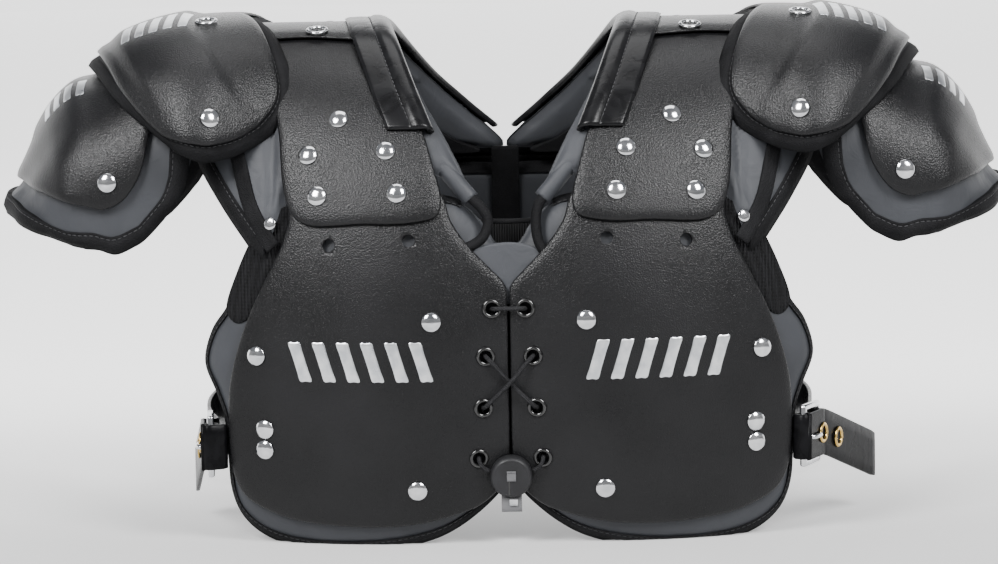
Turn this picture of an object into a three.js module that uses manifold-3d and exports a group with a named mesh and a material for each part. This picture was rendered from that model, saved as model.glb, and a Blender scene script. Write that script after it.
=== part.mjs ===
// A youth football shoulder pad, standing on the bottom edges of its front and back pads.
// Millimetres. The front faces -Y, +Z is up, X runs across; the origin lies on the floor under its middle.
import * as THREE from 'three';
import { mergeVertices } from 'three/addons/utils/BufferGeometryUtils.js';
import Module from 'manifold-3d';

const wasm = await Module();
wasm.setup();

const FRONT = 1;
const REAR = -1;

// The body form that every plate and pad is moulded to
const CREST_HEIGHT = 262;
const SPRING_HEIGHT = 95;
const HALF_DEPTH = 118;
const PROFILE_POWER = 2.3;
const WRAP_HALF_WIDTH = 205;
const SKIRT_TUCK = 0.1;
const VALLEY_DEPTH = 8;
const VALLEY_HALF_WIDTH = 35;

// Walls and the gaps between layers
const PLATE_WALL = 2.6;
const LAYER_GAP = 0.9;
const SEAT_GAP = 0.3;
const PAD_WALL = 12;
const FLAP_PAD_WALL = 7.5;
const LAPPED_PAD_WALL = 3.8;
const FLAP_GAP = 1.2;
const BELT_GAP = 1.4;
const CUP_PAD_GAP = 2.4;

// Body plates, arch plates and pads
const CHEST_HALF_WIDTH = 148;
const ARCH_HALF_WIDTH = 118;
const VENT_DIAMETER = 6.5;
const LAP_FRONT_TURN = 14;
const LAP_START_TURN = 8;
const LAP_END_TURN = 30;
const LACE_RELIEF = 4.6;
const LACE_RELIEF_HALF_WIDTH = 30;

// Flaps over the shoulder
const EPAULETTE_LENGTH = 110;
const EPAULETTE_HALF_WRAP = 135;
const EPAULETTE_PAD_MARGIN = 8;
const BULGE_HEIGHT = 2.6;
const CUP_LENGTH = 114;
const CUP_HALF_WRAP = 162;
const CUP_PAD_FLARE = 4.5;
const EPAULETTE_RISE = 2 * (PLATE_WALL + LAYER_GAP) + 2 * PLATE_WALL + FLAP_GAP + LAPPED_PAD_WALL;

// Neck binding and neck elastic
const TRIM_WIDTH = 17;
const TRIM_WALL = 1.6;
const TRIM_BEAD = 5;
const TRIM_LIP = 2.2;
const TRIM_CROWN = 0.6;
const NECK_WEB_WALL = 2;
const NECK_WEB_HALF_WIDTH = 40;
const WEB_SEAT = 1.1;
const BACK_WEB_WIDTH = 30;
const BACK_WEB_WALL = 2;
const WEB_GAP = 1.4;

// Lacing
const LACE_DIAMETER = 2.6;
const EYELET_DIAMETER = 10;
const EYELET_BORE = 6;
const EYELET_FLANGE = 0.8;
const EYELET_BARREL = 0.6;
const HOLE_CLEARANCE = 0.3;
const LOCK_DIAMETER = 22;
const LOCK_HEIGHT = 7.5;
const LOCK_RIM = { out: 0.85, up: 0.7 };
const LOCK_TAB_WIDTH = 9;
const LOCK_TAB_LENGTH = 7;
const LOCK_TAB_WALL = 3.75;

// Rivets
const RIVET_DIAMETER = 10;
const RIVET_HEIGHT = 2.2;
const RIVET_SHOULDER = 0.75;
const ROUND_SIDES = 8;

// Side belts and buckles
const BELT_WIDTH = 25;
const BELT_WALL = 2.2;
const BUCKLE_WIDTH = 33;
const BUCKLE_LENGTH = 23;
const BUCKLE_WIRE = 3.6;
const TAIL_LENGTH = 64;
const PRONG_DIAMETER = 3;
const BAR_SEAT = 0.4;
const TAIL_FLARE = 4.8;

const radians = THREE.MathUtils.degToRad;

// An outline point: across is a share of the piece's half width, up of the crest height, turn in degrees
const CHEST_PLATE_OUTLINE = [
  { across: 0.041, up: 0.118, corner: true },
  { across: 0.115, up: 0.082 },
  { across: 0.209, up: 0.063 },
  { across: 0.324, up: 0.047 },
  { across: 0.459, up: 0.040 },
  { across: 0.615, up: 0.042 },
  { across: 0.770, up: 0.053 },
  { across: 0.878, up: 0.074 },
  { across: 0.943, up: 0.097, corner: true },
  { across: 0.980, up: 0.130 },
  { across: 0.995, up: 0.176 },
  { across: 1.000, up: 0.237 },
  { across: 0.993, up: 0.321 },
  { across: 0.959, up: 0.401 },
  { across: 0.912, up: 0.471 },
  { across: 0.861, up: 0.531 },
  { across: 0.811, up: 0.588 },
  { across: 0.770, up: 0.649 },
  { across: 0.736, up: 0.721, corner: true },
  { across: 0.514, up: 0.721 },
  { across: 0.264, up: 0.721, corner: true },
  { across: 0.199, up: 0.653 },
  { across: 0.159, up: 0.618 },
  { across: 0.111, up: 0.586 },
  { across: 0.054, up: 0.553 },
  { across: 0.015, up: 0.529 },
  { across: 0.004, up: 0.500 },
  { across: 0.004, up: 0.351 },
  { across: 0.004, up: 0.210 },
  { across: 0.014, up: 0.153 },
];

const BACK_PLATE_OUTLINE = [
  ...CHEST_PLATE_OUTLINE.slice(0, 20),
  { across: 0.200, up: 0.721 },
  { across: 0.060, up: 0.720 },
  { across: 0.014, up: 0.709, corner: true },
  { across: 0.004, up: 0.670 },
  { across: 0.004, up: 0.500 },
  { across: 0.004, up: 0.351 },
  { across: 0.004, up: 0.210 },
  { across: 0.014, up: 0.153 },
];

const FRONT_ARCH_OUTLINE = [
  { across: 0.305, up: 0.663, corner: true },
  { across: 0.390, up: 0.650 },
  { across: 0.508, up: 0.646 },
  { across: 0.636, up: 0.647 },
  { across: 0.839, up: 0.643 },
  { across: 0.928, up: 0.659, corner: true },
  { across: 0.966, up: 0.691 },
  { across: 0.986, up: 0.740 },
  { across: 1.000, up: 0.817 },
  { across: 1.034, up: 0.878 },
  { across: 1.127, up: 0.943 },
  { across: 1.212, turn: 4 },
  { across: 1.229, turn: -6, corner: true },
  { across: 0.898, turn: -6 },
  { across: 0.585, turn: -6, corner: true },
  { across: 0.559, turn: 6 },
  { across: 0.525, up: 0.969 },
  { across: 0.441, up: 0.893 },
  { across: 0.368, up: 0.821 },
  { across: 0.322, up: 0.752 },
  { across: 0.293, up: 0.702 },
];

const REAR_ARCH_OUTLINE = [
  { across: 0.568, turn: 12.5, corner: true },
  { across: 0.898, turn: 12.5 },
  { across: 1.220, turn: 12.5, corner: true },
  { across: 1.237, turn: 0 },
  { across: 1.203, turn: -12 },
  { across: 1.102, up: 0.927, face: REAR },
  { across: 1.025, up: 0.863, face: REAR },
  { across: 0.996, up: 0.782, face: REAR },
  { across: 0.975, up: 0.706, face: REAR },
  { across: 0.924, up: 0.659, face: REAR, corner: true },
  { across: 0.831, up: 0.643, face: REAR },
  { across: 0.508, up: 0.644, face: REAR },
  { across: 0.169, up: 0.645, face: REAR },
  { across: 0.059, up: 0.660, face: REAR, corner: true },
  { across: 0.025, up: 0.695, face: REAR },
  { across: 0.025, up: 0.748, face: REAR },
  { across: 0.085, up: 0.782, face: REAR },
  { across: 0.229, up: 0.836, face: REAR },
  { across: 0.390, up: 0.905, face: REAR },
  { across: 0.517, up: 0.969, face: REAR },
  { across: 0.576, turn: -4 },
];

const CHEST_PAD_OUTLINE = [
  { across: 0.041, up: 0.099, corner: true },
  { across: 0.149, up: 0.042 },
  { across: 0.311, up: 0.004 },
  { across: 0.527, up: -0.015 },
  { across: 0.743, up: -0.011 },
  { across: 0.885, up: 0.011 },
  { across: 0.973, up: 0.050, corner: true },
  { across: 1.014, up: 0.103 },
  { across: 1.024, up: 0.172 },
  { across: 1.034, up: 0.252 },
  { across: 1.064, up: 0.305 },
  { across: 1.105, up: 0.366 },
  { across: 1.074, up: 0.431 },
  { across: 1.014, up: 0.481 },
  { across: 0.966, up: 0.550 },
  { across: 0.926, up: 0.575, corner: true },
  { across: 0.865, up: 0.556 },
  { across: 0.804, up: 0.578 },
  { across: 0.757, up: 0.638 },
  { across: 0.703, up: 0.694 },
  { across: 0.642, up: 0.712 },
  { across: 0.405, up: 0.712 },
  { across: 0.223, up: 0.706 },
  { across: 0.142, up: 0.691, corner: true },
  { across: 0.078, up: 0.653 },
  { across: 0.041, up: 0.616 },
  { across: 0.012, up: 0.603 },
  { across: 0.006, up: 0.573 },
  { across: 0.006, up: 0.420 },
  { across: 0.006, up: 0.229 },
  { across: 0.014, up: 0.145 },
];

const BACK_PAD_OUTLINE = [
  ...CHEST_PAD_OUTLINE.slice(0, 22),
  { across: 0.200, up: 0.712 },
  { across: 0.060, up: 0.711 },
  { across: 0.016, up: 0.700, corner: true },
  { across: 0.006, up: 0.660 },
  { across: 0.006, up: 0.573 },
  { across: 0.006, up: 0.420 },
  { across: 0.006, up: 0.229 },
  { across: 0.014, up: 0.145 },
];

const SHOULDER_PAD_OUTLINE = [
  { across: 0.144, up: 0.698, corner: true },
  { across: 0.203, up: 0.733 },
  { across: 0.339, up: 0.742 },
  { across: 0.593, up: 0.742 },
  { across: 0.839, up: 0.742 },
  { across: 0.950, up: 0.724 },
  { across: 0.996, up: 0.664 },
  { across: 1.042, up: 0.603 },
  { across: 1.068, up: 0.576, corner: true },
  { across: 1.119, up: 0.590 },
  { across: 1.195, up: 0.634 },
  { across: 1.288, up: 0.695 },
  { across: 1.381, up: 0.767 },
  { across: 1.424, up: 0.840 },
  { across: 1.390, up: 0.916 },
  { across: 1.310, turn: 14 },
  { across: 1.280, turn: 0 },
  { across: 1.310, turn: -14 },
  { across: 1.390, up: 0.916, face: REAR },
  { across: 1.424, up: 0.840, face: REAR },
  { across: 1.381, up: 0.767, face: REAR },
  { across: 1.288, up: 0.695, face: REAR },
  { across: 1.195, up: 0.634, face: REAR },
  { across: 1.119, up: 0.590, face: REAR },
  { across: 1.068, up: 0.576, face: REAR, corner: true },
  { across: 1.042, up: 0.603, face: REAR },
  { across: 0.996, up: 0.664, face: REAR },
  { across: 0.950, up: 0.724, face: REAR },
  { across: 0.839, up: 0.742, face: REAR },
  { across: 0.508, up: 0.742, face: REAR },
  { across: 0.169, up: 0.742, face: REAR },
  { across: 0.026, up: 0.745, face: REAR, corner: true },
  { across: 0.012, up: 0.762, face: REAR },
  { across: 0.076, up: 0.792, face: REAR },
  { across: 0.169, up: 0.828, face: REAR },
  { across: 0.322, up: 0.893, face: REAR },
  { across: 0.458, up: 0.962, face: REAR },
  { across: 0.525, turn: -4 },
  { across: 0.508, turn: 6 },
  { across: 0.441, up: 0.954 },
  { across: 0.356, up: 0.885 },
  { across: 0.263, up: 0.813 },
  { across: 0.195, up: 0.752 },
];

// Edge of the neck opening on the arch plates, from the front end of the binding over the crest to the nape
const NECK_EDGE = [
  { across: 0.368, turn: 37 },
  { across: 0.441, turn: 28 },
  { across: 0.525, turn: 15.7 },
  { across: 0.565, turn: 5 },
  { across: 0.576, turn: -4 },
  { across: 0.517, turn: -15.7 },
  { across: 0.390, turn: -26.6 },
  { across: 0.229, turn: -35 },
  { across: 0.085, turn: -41 },
];

// Front half of a flap's outline: along is a share of its length on the ridge, around of its half wrap
const EPAULETTE_OUTLINE = [
  { along: 0.230, around: 0 },
  { along: 0.190, around: 0.140 },
  { along: 0.127, around: 0.310 },
  { along: 0.034, around: 0.550 },
  { along: 0, around: 0.680 },
  { along: 0.014, around: 0.770 },
  { along: 0.085, around: 0.870, corner: true },
  { along: 0.180, around: 0.935 },
  { along: 0.316, around: 0.985 },
  { along: 0.420, around: 1 },
  { along: 0.600, around: 0.990 },
  { along: 0.785, around: 0.940, corner: true },
  { along: 0.885, around: 0.830 },
  { along: 0.930, around: 0.675 },
  { along: 0.945, around: 0.480 },
  { along: 0.975, around: 0.240 },
  { along: 1, around: 0 },
];

const CUP_OUTLINE = [
  { along: 0, around: 0 },
  { along: 0, around: 0.370 },
  { along: 0.005, around: 0.600 },
  { along: 0.016, around: 0.740 },
  { along: 0.037, around: 0.826 },
  { along: 0.075, around: 0.925 },
  { along: 0.127, around: 0.977, corner: true },
  { along: 0.208, around: 1.007 },
  { along: 0.313, around: 1.007 },
  { along: 0.430, around: 0.989 },
  { along: 0.615, around: 0.921 },
  { along: 0.823, around: 0.801, corner: true },
  { along: 0.916, around: 0.679 },
  { along: 0.962, around: 0.450 },
  { along: 0.974, around: 0.200 },
  { along: 0.976, around: 0 },
];

const CUP_PAD_OUTLINE = [
  { along: -0.170, around: 0 },
  { along: -0.170, around: 0.370 },
  { along: -0.168, around: 0.600 },
  { along: -0.165, around: 0.780 },
  { along: -0.160, around: 0.924 },
  { along: -0.149, around: 1.002 },
  { along: -0.089, around: 1.094, corner: true },
  { along: 0.068, around: 1.178 },
  { along: 0.187, around: 1.186 },
  { along: 0.376, around: 1.166 },
  { along: 0.691, around: 1.084 },
  { along: 0.961, around: 0.971, corner: true },
  { along: 1.092, around: 0.803 },
  { along: 1.139, around: 0.574 },
  { along: 1.148, around: 0.297 },
  { along: 1.150, around: 0 },
];

// Ridge of each flap seen from the front, with its reach forwards and its fall as shares of the crest
// height, and how far the fall leans to the body, in degrees. The epaulette's stands EPAULETTE_RISE higher.
const EPAULETTE_RIDGE = [
  { out: 0.397, up: 0.986, reach: 0.321, fall: 0.351, lean: -5 },
  { out: 0.466, up: 0.992, reach: 0.336, fall: 0.351, lean: -4 },
  { out: 0.534, up: 0.994, reach: 0.363, fall: 0.344, lean: 0 },
  { out: 0.603, up: 0.993, reach: 0.393, fall: 0.336, lean: 3 },
  { out: 0.672, up: 0.987, reach: 0.397, fall: 0.328, lean: 9 },
  { out: 0.740, up: 0.971, reach: 0.382, fall: 0.321, lean: 17 },
  { out: 0.802, up: 0.946, reach: 0.359, fall: 0.313, lean: 27 },
  { out: 0.857, up: 0.916, reach: 0.336, fall: 0.305, lean: 36 },
  { out: 0.903, up: 0.884, reach: 0.321, fall: 0.298, lean: 40 },
];
const EPAULETTE_START = 12;

const CUP_RIDGE = [
  { out: 0.679, up: 0.988, reach: 0.321, fall: 0.240, lean: 0 },
  { out: 0.744, up: 0.975, reach: 0.321, fall: 0.240, lean: 5 },
  { out: 0.802, up: 0.954, reach: 0.321, fall: 0.242, lean: 11 },
  { out: 0.851, up: 0.934, reach: 0.320, fall: 0.240, lean: 18 },
  { out: 0.900, up: 0.917, reach: 0.317, fall: 0.233, lean: 25 },
  { out: 0.944, up: 0.874, reach: 0.312, fall: 0.214, lean: 33 },
  { out: 0.976, up: 0.821, reach: 0.301, fall: 0.190, lean: 43 },
  { out: 1.002, up: 0.767, reach: 0.285, fall: 0.160, lean: 54 },
  { out: 1.028, up: 0.718, reach: 0.262, fall: 0.140, lean: 64 },
  { out: 1.048, up: 0.672, reach: 0.240, fall: 0.130, lean: 70 },
  { out: 1.063, up: 0.626, reach: 0.222, fall: 0.125, lean: 74 },
];
const CUP_START = 8;
// Where the epaulette's pad thins over the cup and the cup's pad flares, as shares of their lengths
const LAPPED_FROM = 0.50;
const LAPPED_TO = 0.85;
const FLARE_FROM = 0.98;
const FLARE_TO = 1.13;
// The cup's front and rear lobes hang straighter: this share of the lean is lost between two turns
const LOBE_EASE = { share: 0.5, start: 0.40, end: 1.10 };
const NO_EASE = { share: 0, start: 0, end: 1 };
// The epaulette's raised bulge, between two lines that bend towards the neck, as shares of its length
const BULGE = { inner: 0.48, innerBend: 0.52, outer: 0.88, outerBend: 0.25, edge: 0.06 };
const FLAP_TURN_RADIUS = 100;

// Where the rivets and eyelets stand: across is a share of the piece's half width, up of the crest height
const ARCH_RIVETS = [
  { across: 0.734, up: 0.841 },
  { across: 0.866, up: 0.775 },
  { across: 0.527, up: 0.782 },
  { across: 0.826, up: 0.699 },
  { across: 0.481, up: 0.703 },
];
const VENTS = [
  { across: 0.625, up: 0.607 },
  { across: 0.347, up: 0.615 },
];
const EYELET_ROWS = [
  { across: 0.061, up: 0.479 },
  { across: 0.086, up: 0.385 },
  { across: 0.097, up: 0.282 },
  { across: 0.115, up: 0.181 },
];
const EPAULETTE_RIVET = { along: 0.364, around: 0.896 };
const CUP_RIVET = { along: 0.302, around: 0.909 };
const LOCK_UP = 0.147;
const BUCKLE_UP = 0.198;
const BACK_WEB_ROWS = [0.200, 0.300, 0.400, 0.500, 0.600];
const NECK_WEB_TOP = 0.690;
const NECK_WEB_HEIGHT = 0.105;
const NECK_WEB_BOW = 0.030;

// Plan of a side belt's run: out is a share of the chest's half width, back of the half depth
const BELT_ON_PLATE = [0.700, 0.790, 0.870, 0.940];
const BELT_RUN = [
  { out: 1.030, back: 0.785 },
  { out: 1.080, back: 0.600 },
  { out: 1.115, back: 0.300 },
  { out: 1.120, back: 0 },
  { out: 1.095, back: -0.350 },
];
const BUCKLE_PLACE = { out: 1.075, back: -0.655 };

// How each belt's tail hangs: its splay from straight back in degrees, and its sag
const RIGHT_TAIL = { splay: 26, sag: 22 };
const LEFT_TAIL = { splay: 4, sag: 26 };

const LOOKS = {
  plate: { color: 0x151618, roughness: 0.42, metalness: 0 },
  padding: { color: 0x5d6064, roughness: 0.85, metalness: 0 },
  vinyl: { color: 0x0c0c0d, roughness: 0.25, metalness: 0 },
  elastic: { color: 0x101011, roughness: 0.9, metalness: 0 },
  chrome: { color: 0xc9ccd0, roughness: 0.18, metalness: 1 },
  lacquer: { color: 0x0b0b0c, roughness: 0.3, metalness: 0.4 },
  lock: { color: 0x2a2b2d, roughness: 0.6, metalness: 0 },
  lockTab: { color: 0x8b8e92, roughness: 0.4, metalness: 0 },
};

// Depth of a dome profile at a share of the way from its spring line to its crown
function domeDepth(share) {
  return (1 - Math.min(1, share) ** PROFILE_POWER) ** (1 / PROFILE_POWER);
}

// Distance from the centre of a domed section to its face, in the direction of a turn from the crown
function domeRadius(turn, reach, rise) {
  const forward = Math.abs(Math.sin(turn)) / reach;
  const upward = Math.max(0, Math.cos(turn)) / rise;
  return (forward ** PROFILE_POWER + upward ** PROFILE_POWER) ** (-1 / PROFILE_POWER);
}

// Forward and upward place on a domed section whose sides run straight on below its spring line
function domeSection(turn, reach, rise) {
  const size = Math.abs(turn);
  if (size <= Math.PI / 2) {
    const radius = domeRadius(turn, reach, rise);
    return { forward: radius * Math.sin(size), upward: radius * Math.cos(size) };
  }
  return { forward: reach, upward: reach / Math.tan(size) };
}

function bodyPoint(x, turn) {
  const { forward, upward } = domeSection(turn, HALF_DEPTH, CREST_HEIGHT - SPRING_HEIGHT);
  const below = Math.max(0, -upward) / SPRING_HEIGHT;
  const wrap = domeDepth(Math.abs(x) / WRAP_HALF_WIDTH);
  const valley = VALLEY_DEPTH * Math.exp(-((x / VALLEY_HALF_WIDTH) ** 2)) * Math.abs(Math.sin(turn));
  const depth = forward * wrap * (1 - SKIRT_TUCK * below ** 2) - valley;
  return new THREE.Vector3(x, -Math.sign(turn) * depth, SPRING_HEIGHT + upward);
}

// Turn of the body form at a height on its front or rear face
function bodyTurn(height, face) {
  if (height < SPRING_HEIGHT) {
    return face * (Math.PI / 2 + Math.atan((SPRING_HEIGHT - height) / HALF_DEPTH));
  }
  const rise = CREST_HEIGHT - SPRING_HEIGHT;
  return face * Math.atan2(HALF_DEPTH * domeDepth((height - SPRING_HEIGHT) / rise), height - SPRING_HEIGHT);
}

// A point at an offset outside a form, from the form's own slope there
function offsetFrom(form, side, a, b, offset) {
  const step = 0.2;
  const point = form(a, b);
  const alongA = form(a + step, b).sub(form(a - step, b));
  const alongB = form(a, b + step).sub(form(a, b - step));
  const normal = alongB.cross(alongA).normalize().multiplyScalar(side);
  return { point: point.addScaledVector(normal, offset), normal };
}

// The body form on one side: a is the distance across, b the distance round its section from the crest
function bodyForm(side) {
  const form = (a, b) => bodyPoint(side * a, b / HALF_DEPTH);
  return (a, b, offset) => offsetFrom(form, side, a, b, offset);
}

// A flap's form on one side: a is the distance along its ridge, b the distance round its section
function flapForm(side, ridgeRows, rise, relief, ease, halfWrap) {
  const ridge = new THREE.CatmullRomCurve3(
    ridgeRows.map((row) => new THREE.Vector3(row.out * CREST_HEIGHT, 0, row.up * CREST_HEIGHT + rise)),
    false, 'catmullrom', 0.5);
  const sizes = new THREE.CatmullRomCurve3(
    ridgeRows.map((row) => (
      new THREE.Vector3(row.reach * CREST_HEIGHT, row.fall * CREST_HEIGHT, radians(row.lean)))),
    false, 'catmullrom', 0.5);
  const length = ridge.getLength();
  const form = (a, b) => {
    const share = THREE.MathUtils.clamp(a / length, 0, 1);
    const t = ridge.getUtoTmapping(share);
    const point = ridge.getPoint(t).addScaledVector(ridge.getTangent(t), a - share * length);
    const size = sizes.getPoint(t);
    const section = domeSection(b / FLAP_TURN_RADIUS, size.x, size.y);
    const inward = size.y - section.upward - relief(a, b);
    const eased = THREE.MathUtils.smoothstep(Math.abs(b) / halfWrap, ease.start, ease.end);
    const lean = size.z * (1 - ease.share * eased);
    point.x -= Math.sin(lean) * inward;
    point.z -= Math.cos(lean) * inward;
    point.y = -Math.sign(b) * section.forward;
    point.x *= side;
    return point;
  };
  return (a, b, offset) => offsetFrom(form, side, a, b, offset);
}

// Chart points of an outline table on the body form
function bodyOutline(rows, halfWidth, face = FRONT) {
  return rows.map((row) => {
    const turn = row.turn === undefined
      ? bodyTurn(row.up * CREST_HEIGHT, row.face ?? face)
      : radians(row.turn);
    return { a: row.across * halfWidth, b: turn * HALF_DEPTH, corner: row.corner };
  });
}

// Chart points of a flap: its front half, and the same mirrored behind
function flapOutline(rows, start, length, halfWrap) {
  const front = rows.map((row) => (
    { a: start + row.along * length, b: row.around * halfWrap, corner: row.corner }));
  const rear = front.slice(1, -1).reverse().map((point) => ({ ...point, b: -point.b }));
  return [...front, ...rear];
}

// The outline moved outwards by a margin, square to itself
function grown(outline, margin) {
  const count = outline.length;
  const twiceArea = outline.reduce((sum, point, i) => {
    const next = outline[(i + 1) % count];
    return sum + point.a * next.b - next.a * point.b;
  }, 0);
  const outward = Math.sign(twiceArea) * margin;
  return outline.map((point, i) => {
    const before = outline[(i + count - 1) % count];
    const after = outline[(i + 1) % count];
    const da = after.a - before.a;
    const db = after.b - before.b;
    const size = Math.hypot(da, db);
    return { a: point.a + outward * db / size, b: point.b - outward * da / size, corner: point.corner };
  });
}

// The four sides of an outline between its corners, each with points at even distances
function outlineSides(outline, counts) {
  const first = outline.findIndex((point) => point.corner);
  const rows = [...outline.slice(first), ...outline.slice(0, first)];
  const curve = new THREE.CatmullRomCurve3(
    rows.map((row) => new THREE.Vector3(row.a, row.b, 0)), true, 'catmullrom', 0.5);
  const corners = rows.flatMap((row, i) => (row.corner ? [i] : []));
  corners.push(rows.length);
  return counts.map((count, side) => {
    const fine = 12 * (corners[side + 1] - corners[side]);
    const points = [];
    for (let i = 0; i <= fine; i += 1) {
      const row = corners[side] + (corners[side + 1] - corners[side]) * i / fine;
      points.push(curve.getPoint(row / rows.length));
    }
    const reach = [0];
    for (let i = 1; i <= fine; i += 1) reach.push(reach[i - 1] + points[i].distanceTo(points[i - 1]));
    const even = [];
    let step = 0;
    for (let i = 0; i <= count; i += 1) {
      const wanted = reach[fine] * i / count;
      while (step < fine - 1 && reach[step + 1] < wanted) step += 1;
      const part = (wanted - reach[step]) / (reach[step + 1] - reach[step]);
      even.push(points[step].clone().lerp(points[step + 1], part));
    }
    return even;
  });
}

// Grid of chart points that fills an outline, blended between its four sides
function outlineGrid(outline, across, along) {
  const [near, right, far, left] = outlineSides(outline, [across, along, across, along]);
  far.reverse();
  left.reverse();
  const grid = [];
  for (let j = 0; j <= along; j += 1) {
    const v = j / along;
    const row = [];
    for (let i = 0; i <= across; i += 1) {
      const u = i / across;
      const point = new THREE.Vector3()
        .addScaledVector(near[i], 1 - v)
        .addScaledVector(far[i], v)
        .addScaledVector(left[j], 1 - u)
        .addScaledVector(right[j], u)
        .addScaledVector(near[0], -(1 - u) * (1 - v))
        .addScaledVector(near[across], -u * (1 - v))
        .addScaledVector(far[0], -(1 - u) * v)
        .addScaledVector(far[across], -u * v);
      row.push({ a: point.x, b: point.y, ring: Math.min(i, j, across - i, along - j) });
    }
    grid.push(row);
  }
  return grid;
}

// A solid from corner points and triangles, with its faces turned outwards
function toSolid(points, triangles) {
  const volume = triangles.reduce((sum, [i, j, k]) => (
    sum + points[i].dot(points[j].clone().cross(points[k]))), 0);
  const vertProperties = new Float32Array(points.flatMap((point) => point.toArray()));
  const triVerts = new Uint32Array(triangles.flatMap(([i, j, k]) => (volume > 0 ? [i, j, k] : [i, k, j])));
  return new wasm.Manifold(new wasm.Mesh({ numProp: 3, vertProperties, triVerts }));
}

function geometrySolid(geometry) {
  const bare = geometry.clone();
  bare.deleteAttribute('normal');
  bare.deleteAttribute('uv');
  const merged = mergeVertices(bare, 1e-4);
  const place = merged.attributes.position;
  const points = [];
  for (let i = 0; i < place.count; i += 1) points.push(new THREE.Vector3().fromBufferAttribute(place, i));
  const triangles = [];
  for (let i = 0; i < merged.index.count; i += 3) {
    const corners = [0, 1, 2].map((k) => merged.index.getX(i + k));
    if (new Set(corners).size === 3) triangles.push(corners);
  }
  return toSolid(points, triangles);
}

// A closed wall over an outline: outer and inner give the offsets of its faces at a grid point,
// and settle moves a point of its inner face clear of what it rests on
function shell(form, outline, across, along, outer, inner, settle = (point) => point) {
  const grid = outlineGrid(outline, across, along).flat();
  const width = across + 1;
  const count = grid.length;
  const points = [
    ...grid.map((node) => form(node.a, node.b, outer(node)).point),
    ...grid.map((node) => settle(form(node.a, node.b, inner(node)).point)),
  ];
  const triangles = [];
  for (let j = 0; j < along; j += 1) {
    for (let i = 0; i < across; i += 1) {
      const k = j * width + i;
      triangles.push([k, k + 1, k + width + 1], [k, k + width + 1, k + width]);
      const m = k + count;
      triangles.push([m, m + width + 1, m + 1], [m, m + width, m + width + 1]);
    }
  }
  const rim = [];
  for (let i = 0; i < across; i += 1) rim.push(i);
  for (let j = 0; j < along; j += 1) rim.push(j * width + across);
  for (let i = across; i > 0; i -= 1) rim.push(along * width + i);
  for (let j = along; j > 0; j -= 1) rim.push(j * width);
  rim.forEach((k, i) => {
    const next = rim[(i + 1) % rim.length];
    triangles.push([k, k + count, next + count], [k, next + count, next]);
  });
  return toSolid(points, triangles);
}

const plate = (form, outline, across, along, lift = () => 0) => shell(
  form, outline, across, along, (node) => lift(node) + PLATE_WALL, lift);

// A sewn pad: thin at its seam, full two grid steps in; most of its fullness is on its inner side
const SEAM_FULLNESS = [0.3, 0.9];
const OUTER_FULLNESS = 0.35;
function pad(form, outline, across, along, face, wall, settle) {
  const thinning = (node) => wall(node) * (1 - (SEAM_FULLNESS[node.ring] ?? 1));
  const outer = (node) => face(node) - OUTER_FULLNESS * thinning(node);
  const inner = (node) => face(node) - wall(node) + (1 - OUTER_FULLNESS) * thinning(node);
  return shell(form, outline, across, along, outer, inner, settle);
}

// The largest body that a cut leaves
function mainBody(solid) {
  return solid.decompose().reduce((best, part) => (part.volume() > best.volume() ? part : best));
}

// A straight cutter through a place on a form
function drill({ point, normal }, diameter, depth) {
  const cutter = new THREE.CylinderGeometry(diameter / 2, diameter / 2, depth, ROUND_SIDES);
  cutter.applyQuaternion(new THREE.Quaternion().setFromUnitVectors(new THREE.Vector3(0, 1, 0), normal));
  cutter.translate(point.x, point.y, point.z);
  return geometrySolid(cutter);
}

function meshOf(name, solid, look) {
  const { vertProperties, triVerts } = solid.getMesh();
  const geometry = new THREE.BufferGeometry();
  geometry.setAttribute('position', new THREE.BufferAttribute(new Float32Array(vertProperties), 3));
  geometry.setIndex(new THREE.BufferAttribute(new Uint32Array(triVerts), 1));
  geometry.computeVertexNormals();
  const mesh = new THREE.Mesh(geometry, new THREE.MeshStandardMaterial(LOOKS[look]));
  mesh.name = name;
  return mesh;
}

// A turned piece set on a form with its axis along the form's normal
function turned(name, profile, segments, { point, normal }, look) {
  const geometry = new THREE.LatheGeometry(profile.map(([r, h]) => new THREE.Vector2(r, h)), segments);
  const mesh = new THREE.Mesh(geometry, new THREE.MeshStandardMaterial(LOOKS[look]));
  mesh.name = name;
  mesh.position.copy(point);
  mesh.quaternion.setFromUnitVectors(new THREE.Vector3(0, 1, 0), normal);
  return mesh;
}

// Highest and lowest height of a plate's faces under a round piece, measured along the form's normal
function faceHeights(solid, { point, normal }, radius) {
  const target = meshOf('plate', solid, 'plate');
  const caster = new THREE.Raycaster();
  const turn = new THREE.Quaternion().setFromUnitVectors(new THREE.Vector3(0, 1, 0), normal);
  const heights = (way) => {
    const found = [];
    for (let i = 0; i < ROUND_SIDES; i += 1) {
      const angle = 2 * Math.PI * i / ROUND_SIDES;
      const start = new THREE.Vector3(radius * Math.cos(angle), way * 10, radius * Math.sin(angle));
      caster.set(start.applyQuaternion(turn).add(point), normal.clone().multiplyScalar(-way));
      const [hit] = caster.intersectObject(target);
      if (hit) found.push(hit.point.sub(point).dot(normal));
    }
    return found;
  };
  return { top: Math.max(...heights(1)), bottom: Math.min(...heights(-1)) };
}

// A domed rivet head that stands a gap above its plate
function rivet(name, place, solid) {
  const radius = RIVET_DIAMETER / 2;
  const base = faceHeights(solid, place, radius).top + SEAT_GAP;
  const shoulder = [RIVET_SHOULDER * radius, base + RIVET_SHOULDER * RIVET_HEIGHT];
  const profile = [[0, base], [radius, base], shoulder, [0, base + RIVET_HEIGHT]];
  return turned(name, profile, ROUND_SIDES, place, 'chrome');
}

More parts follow.
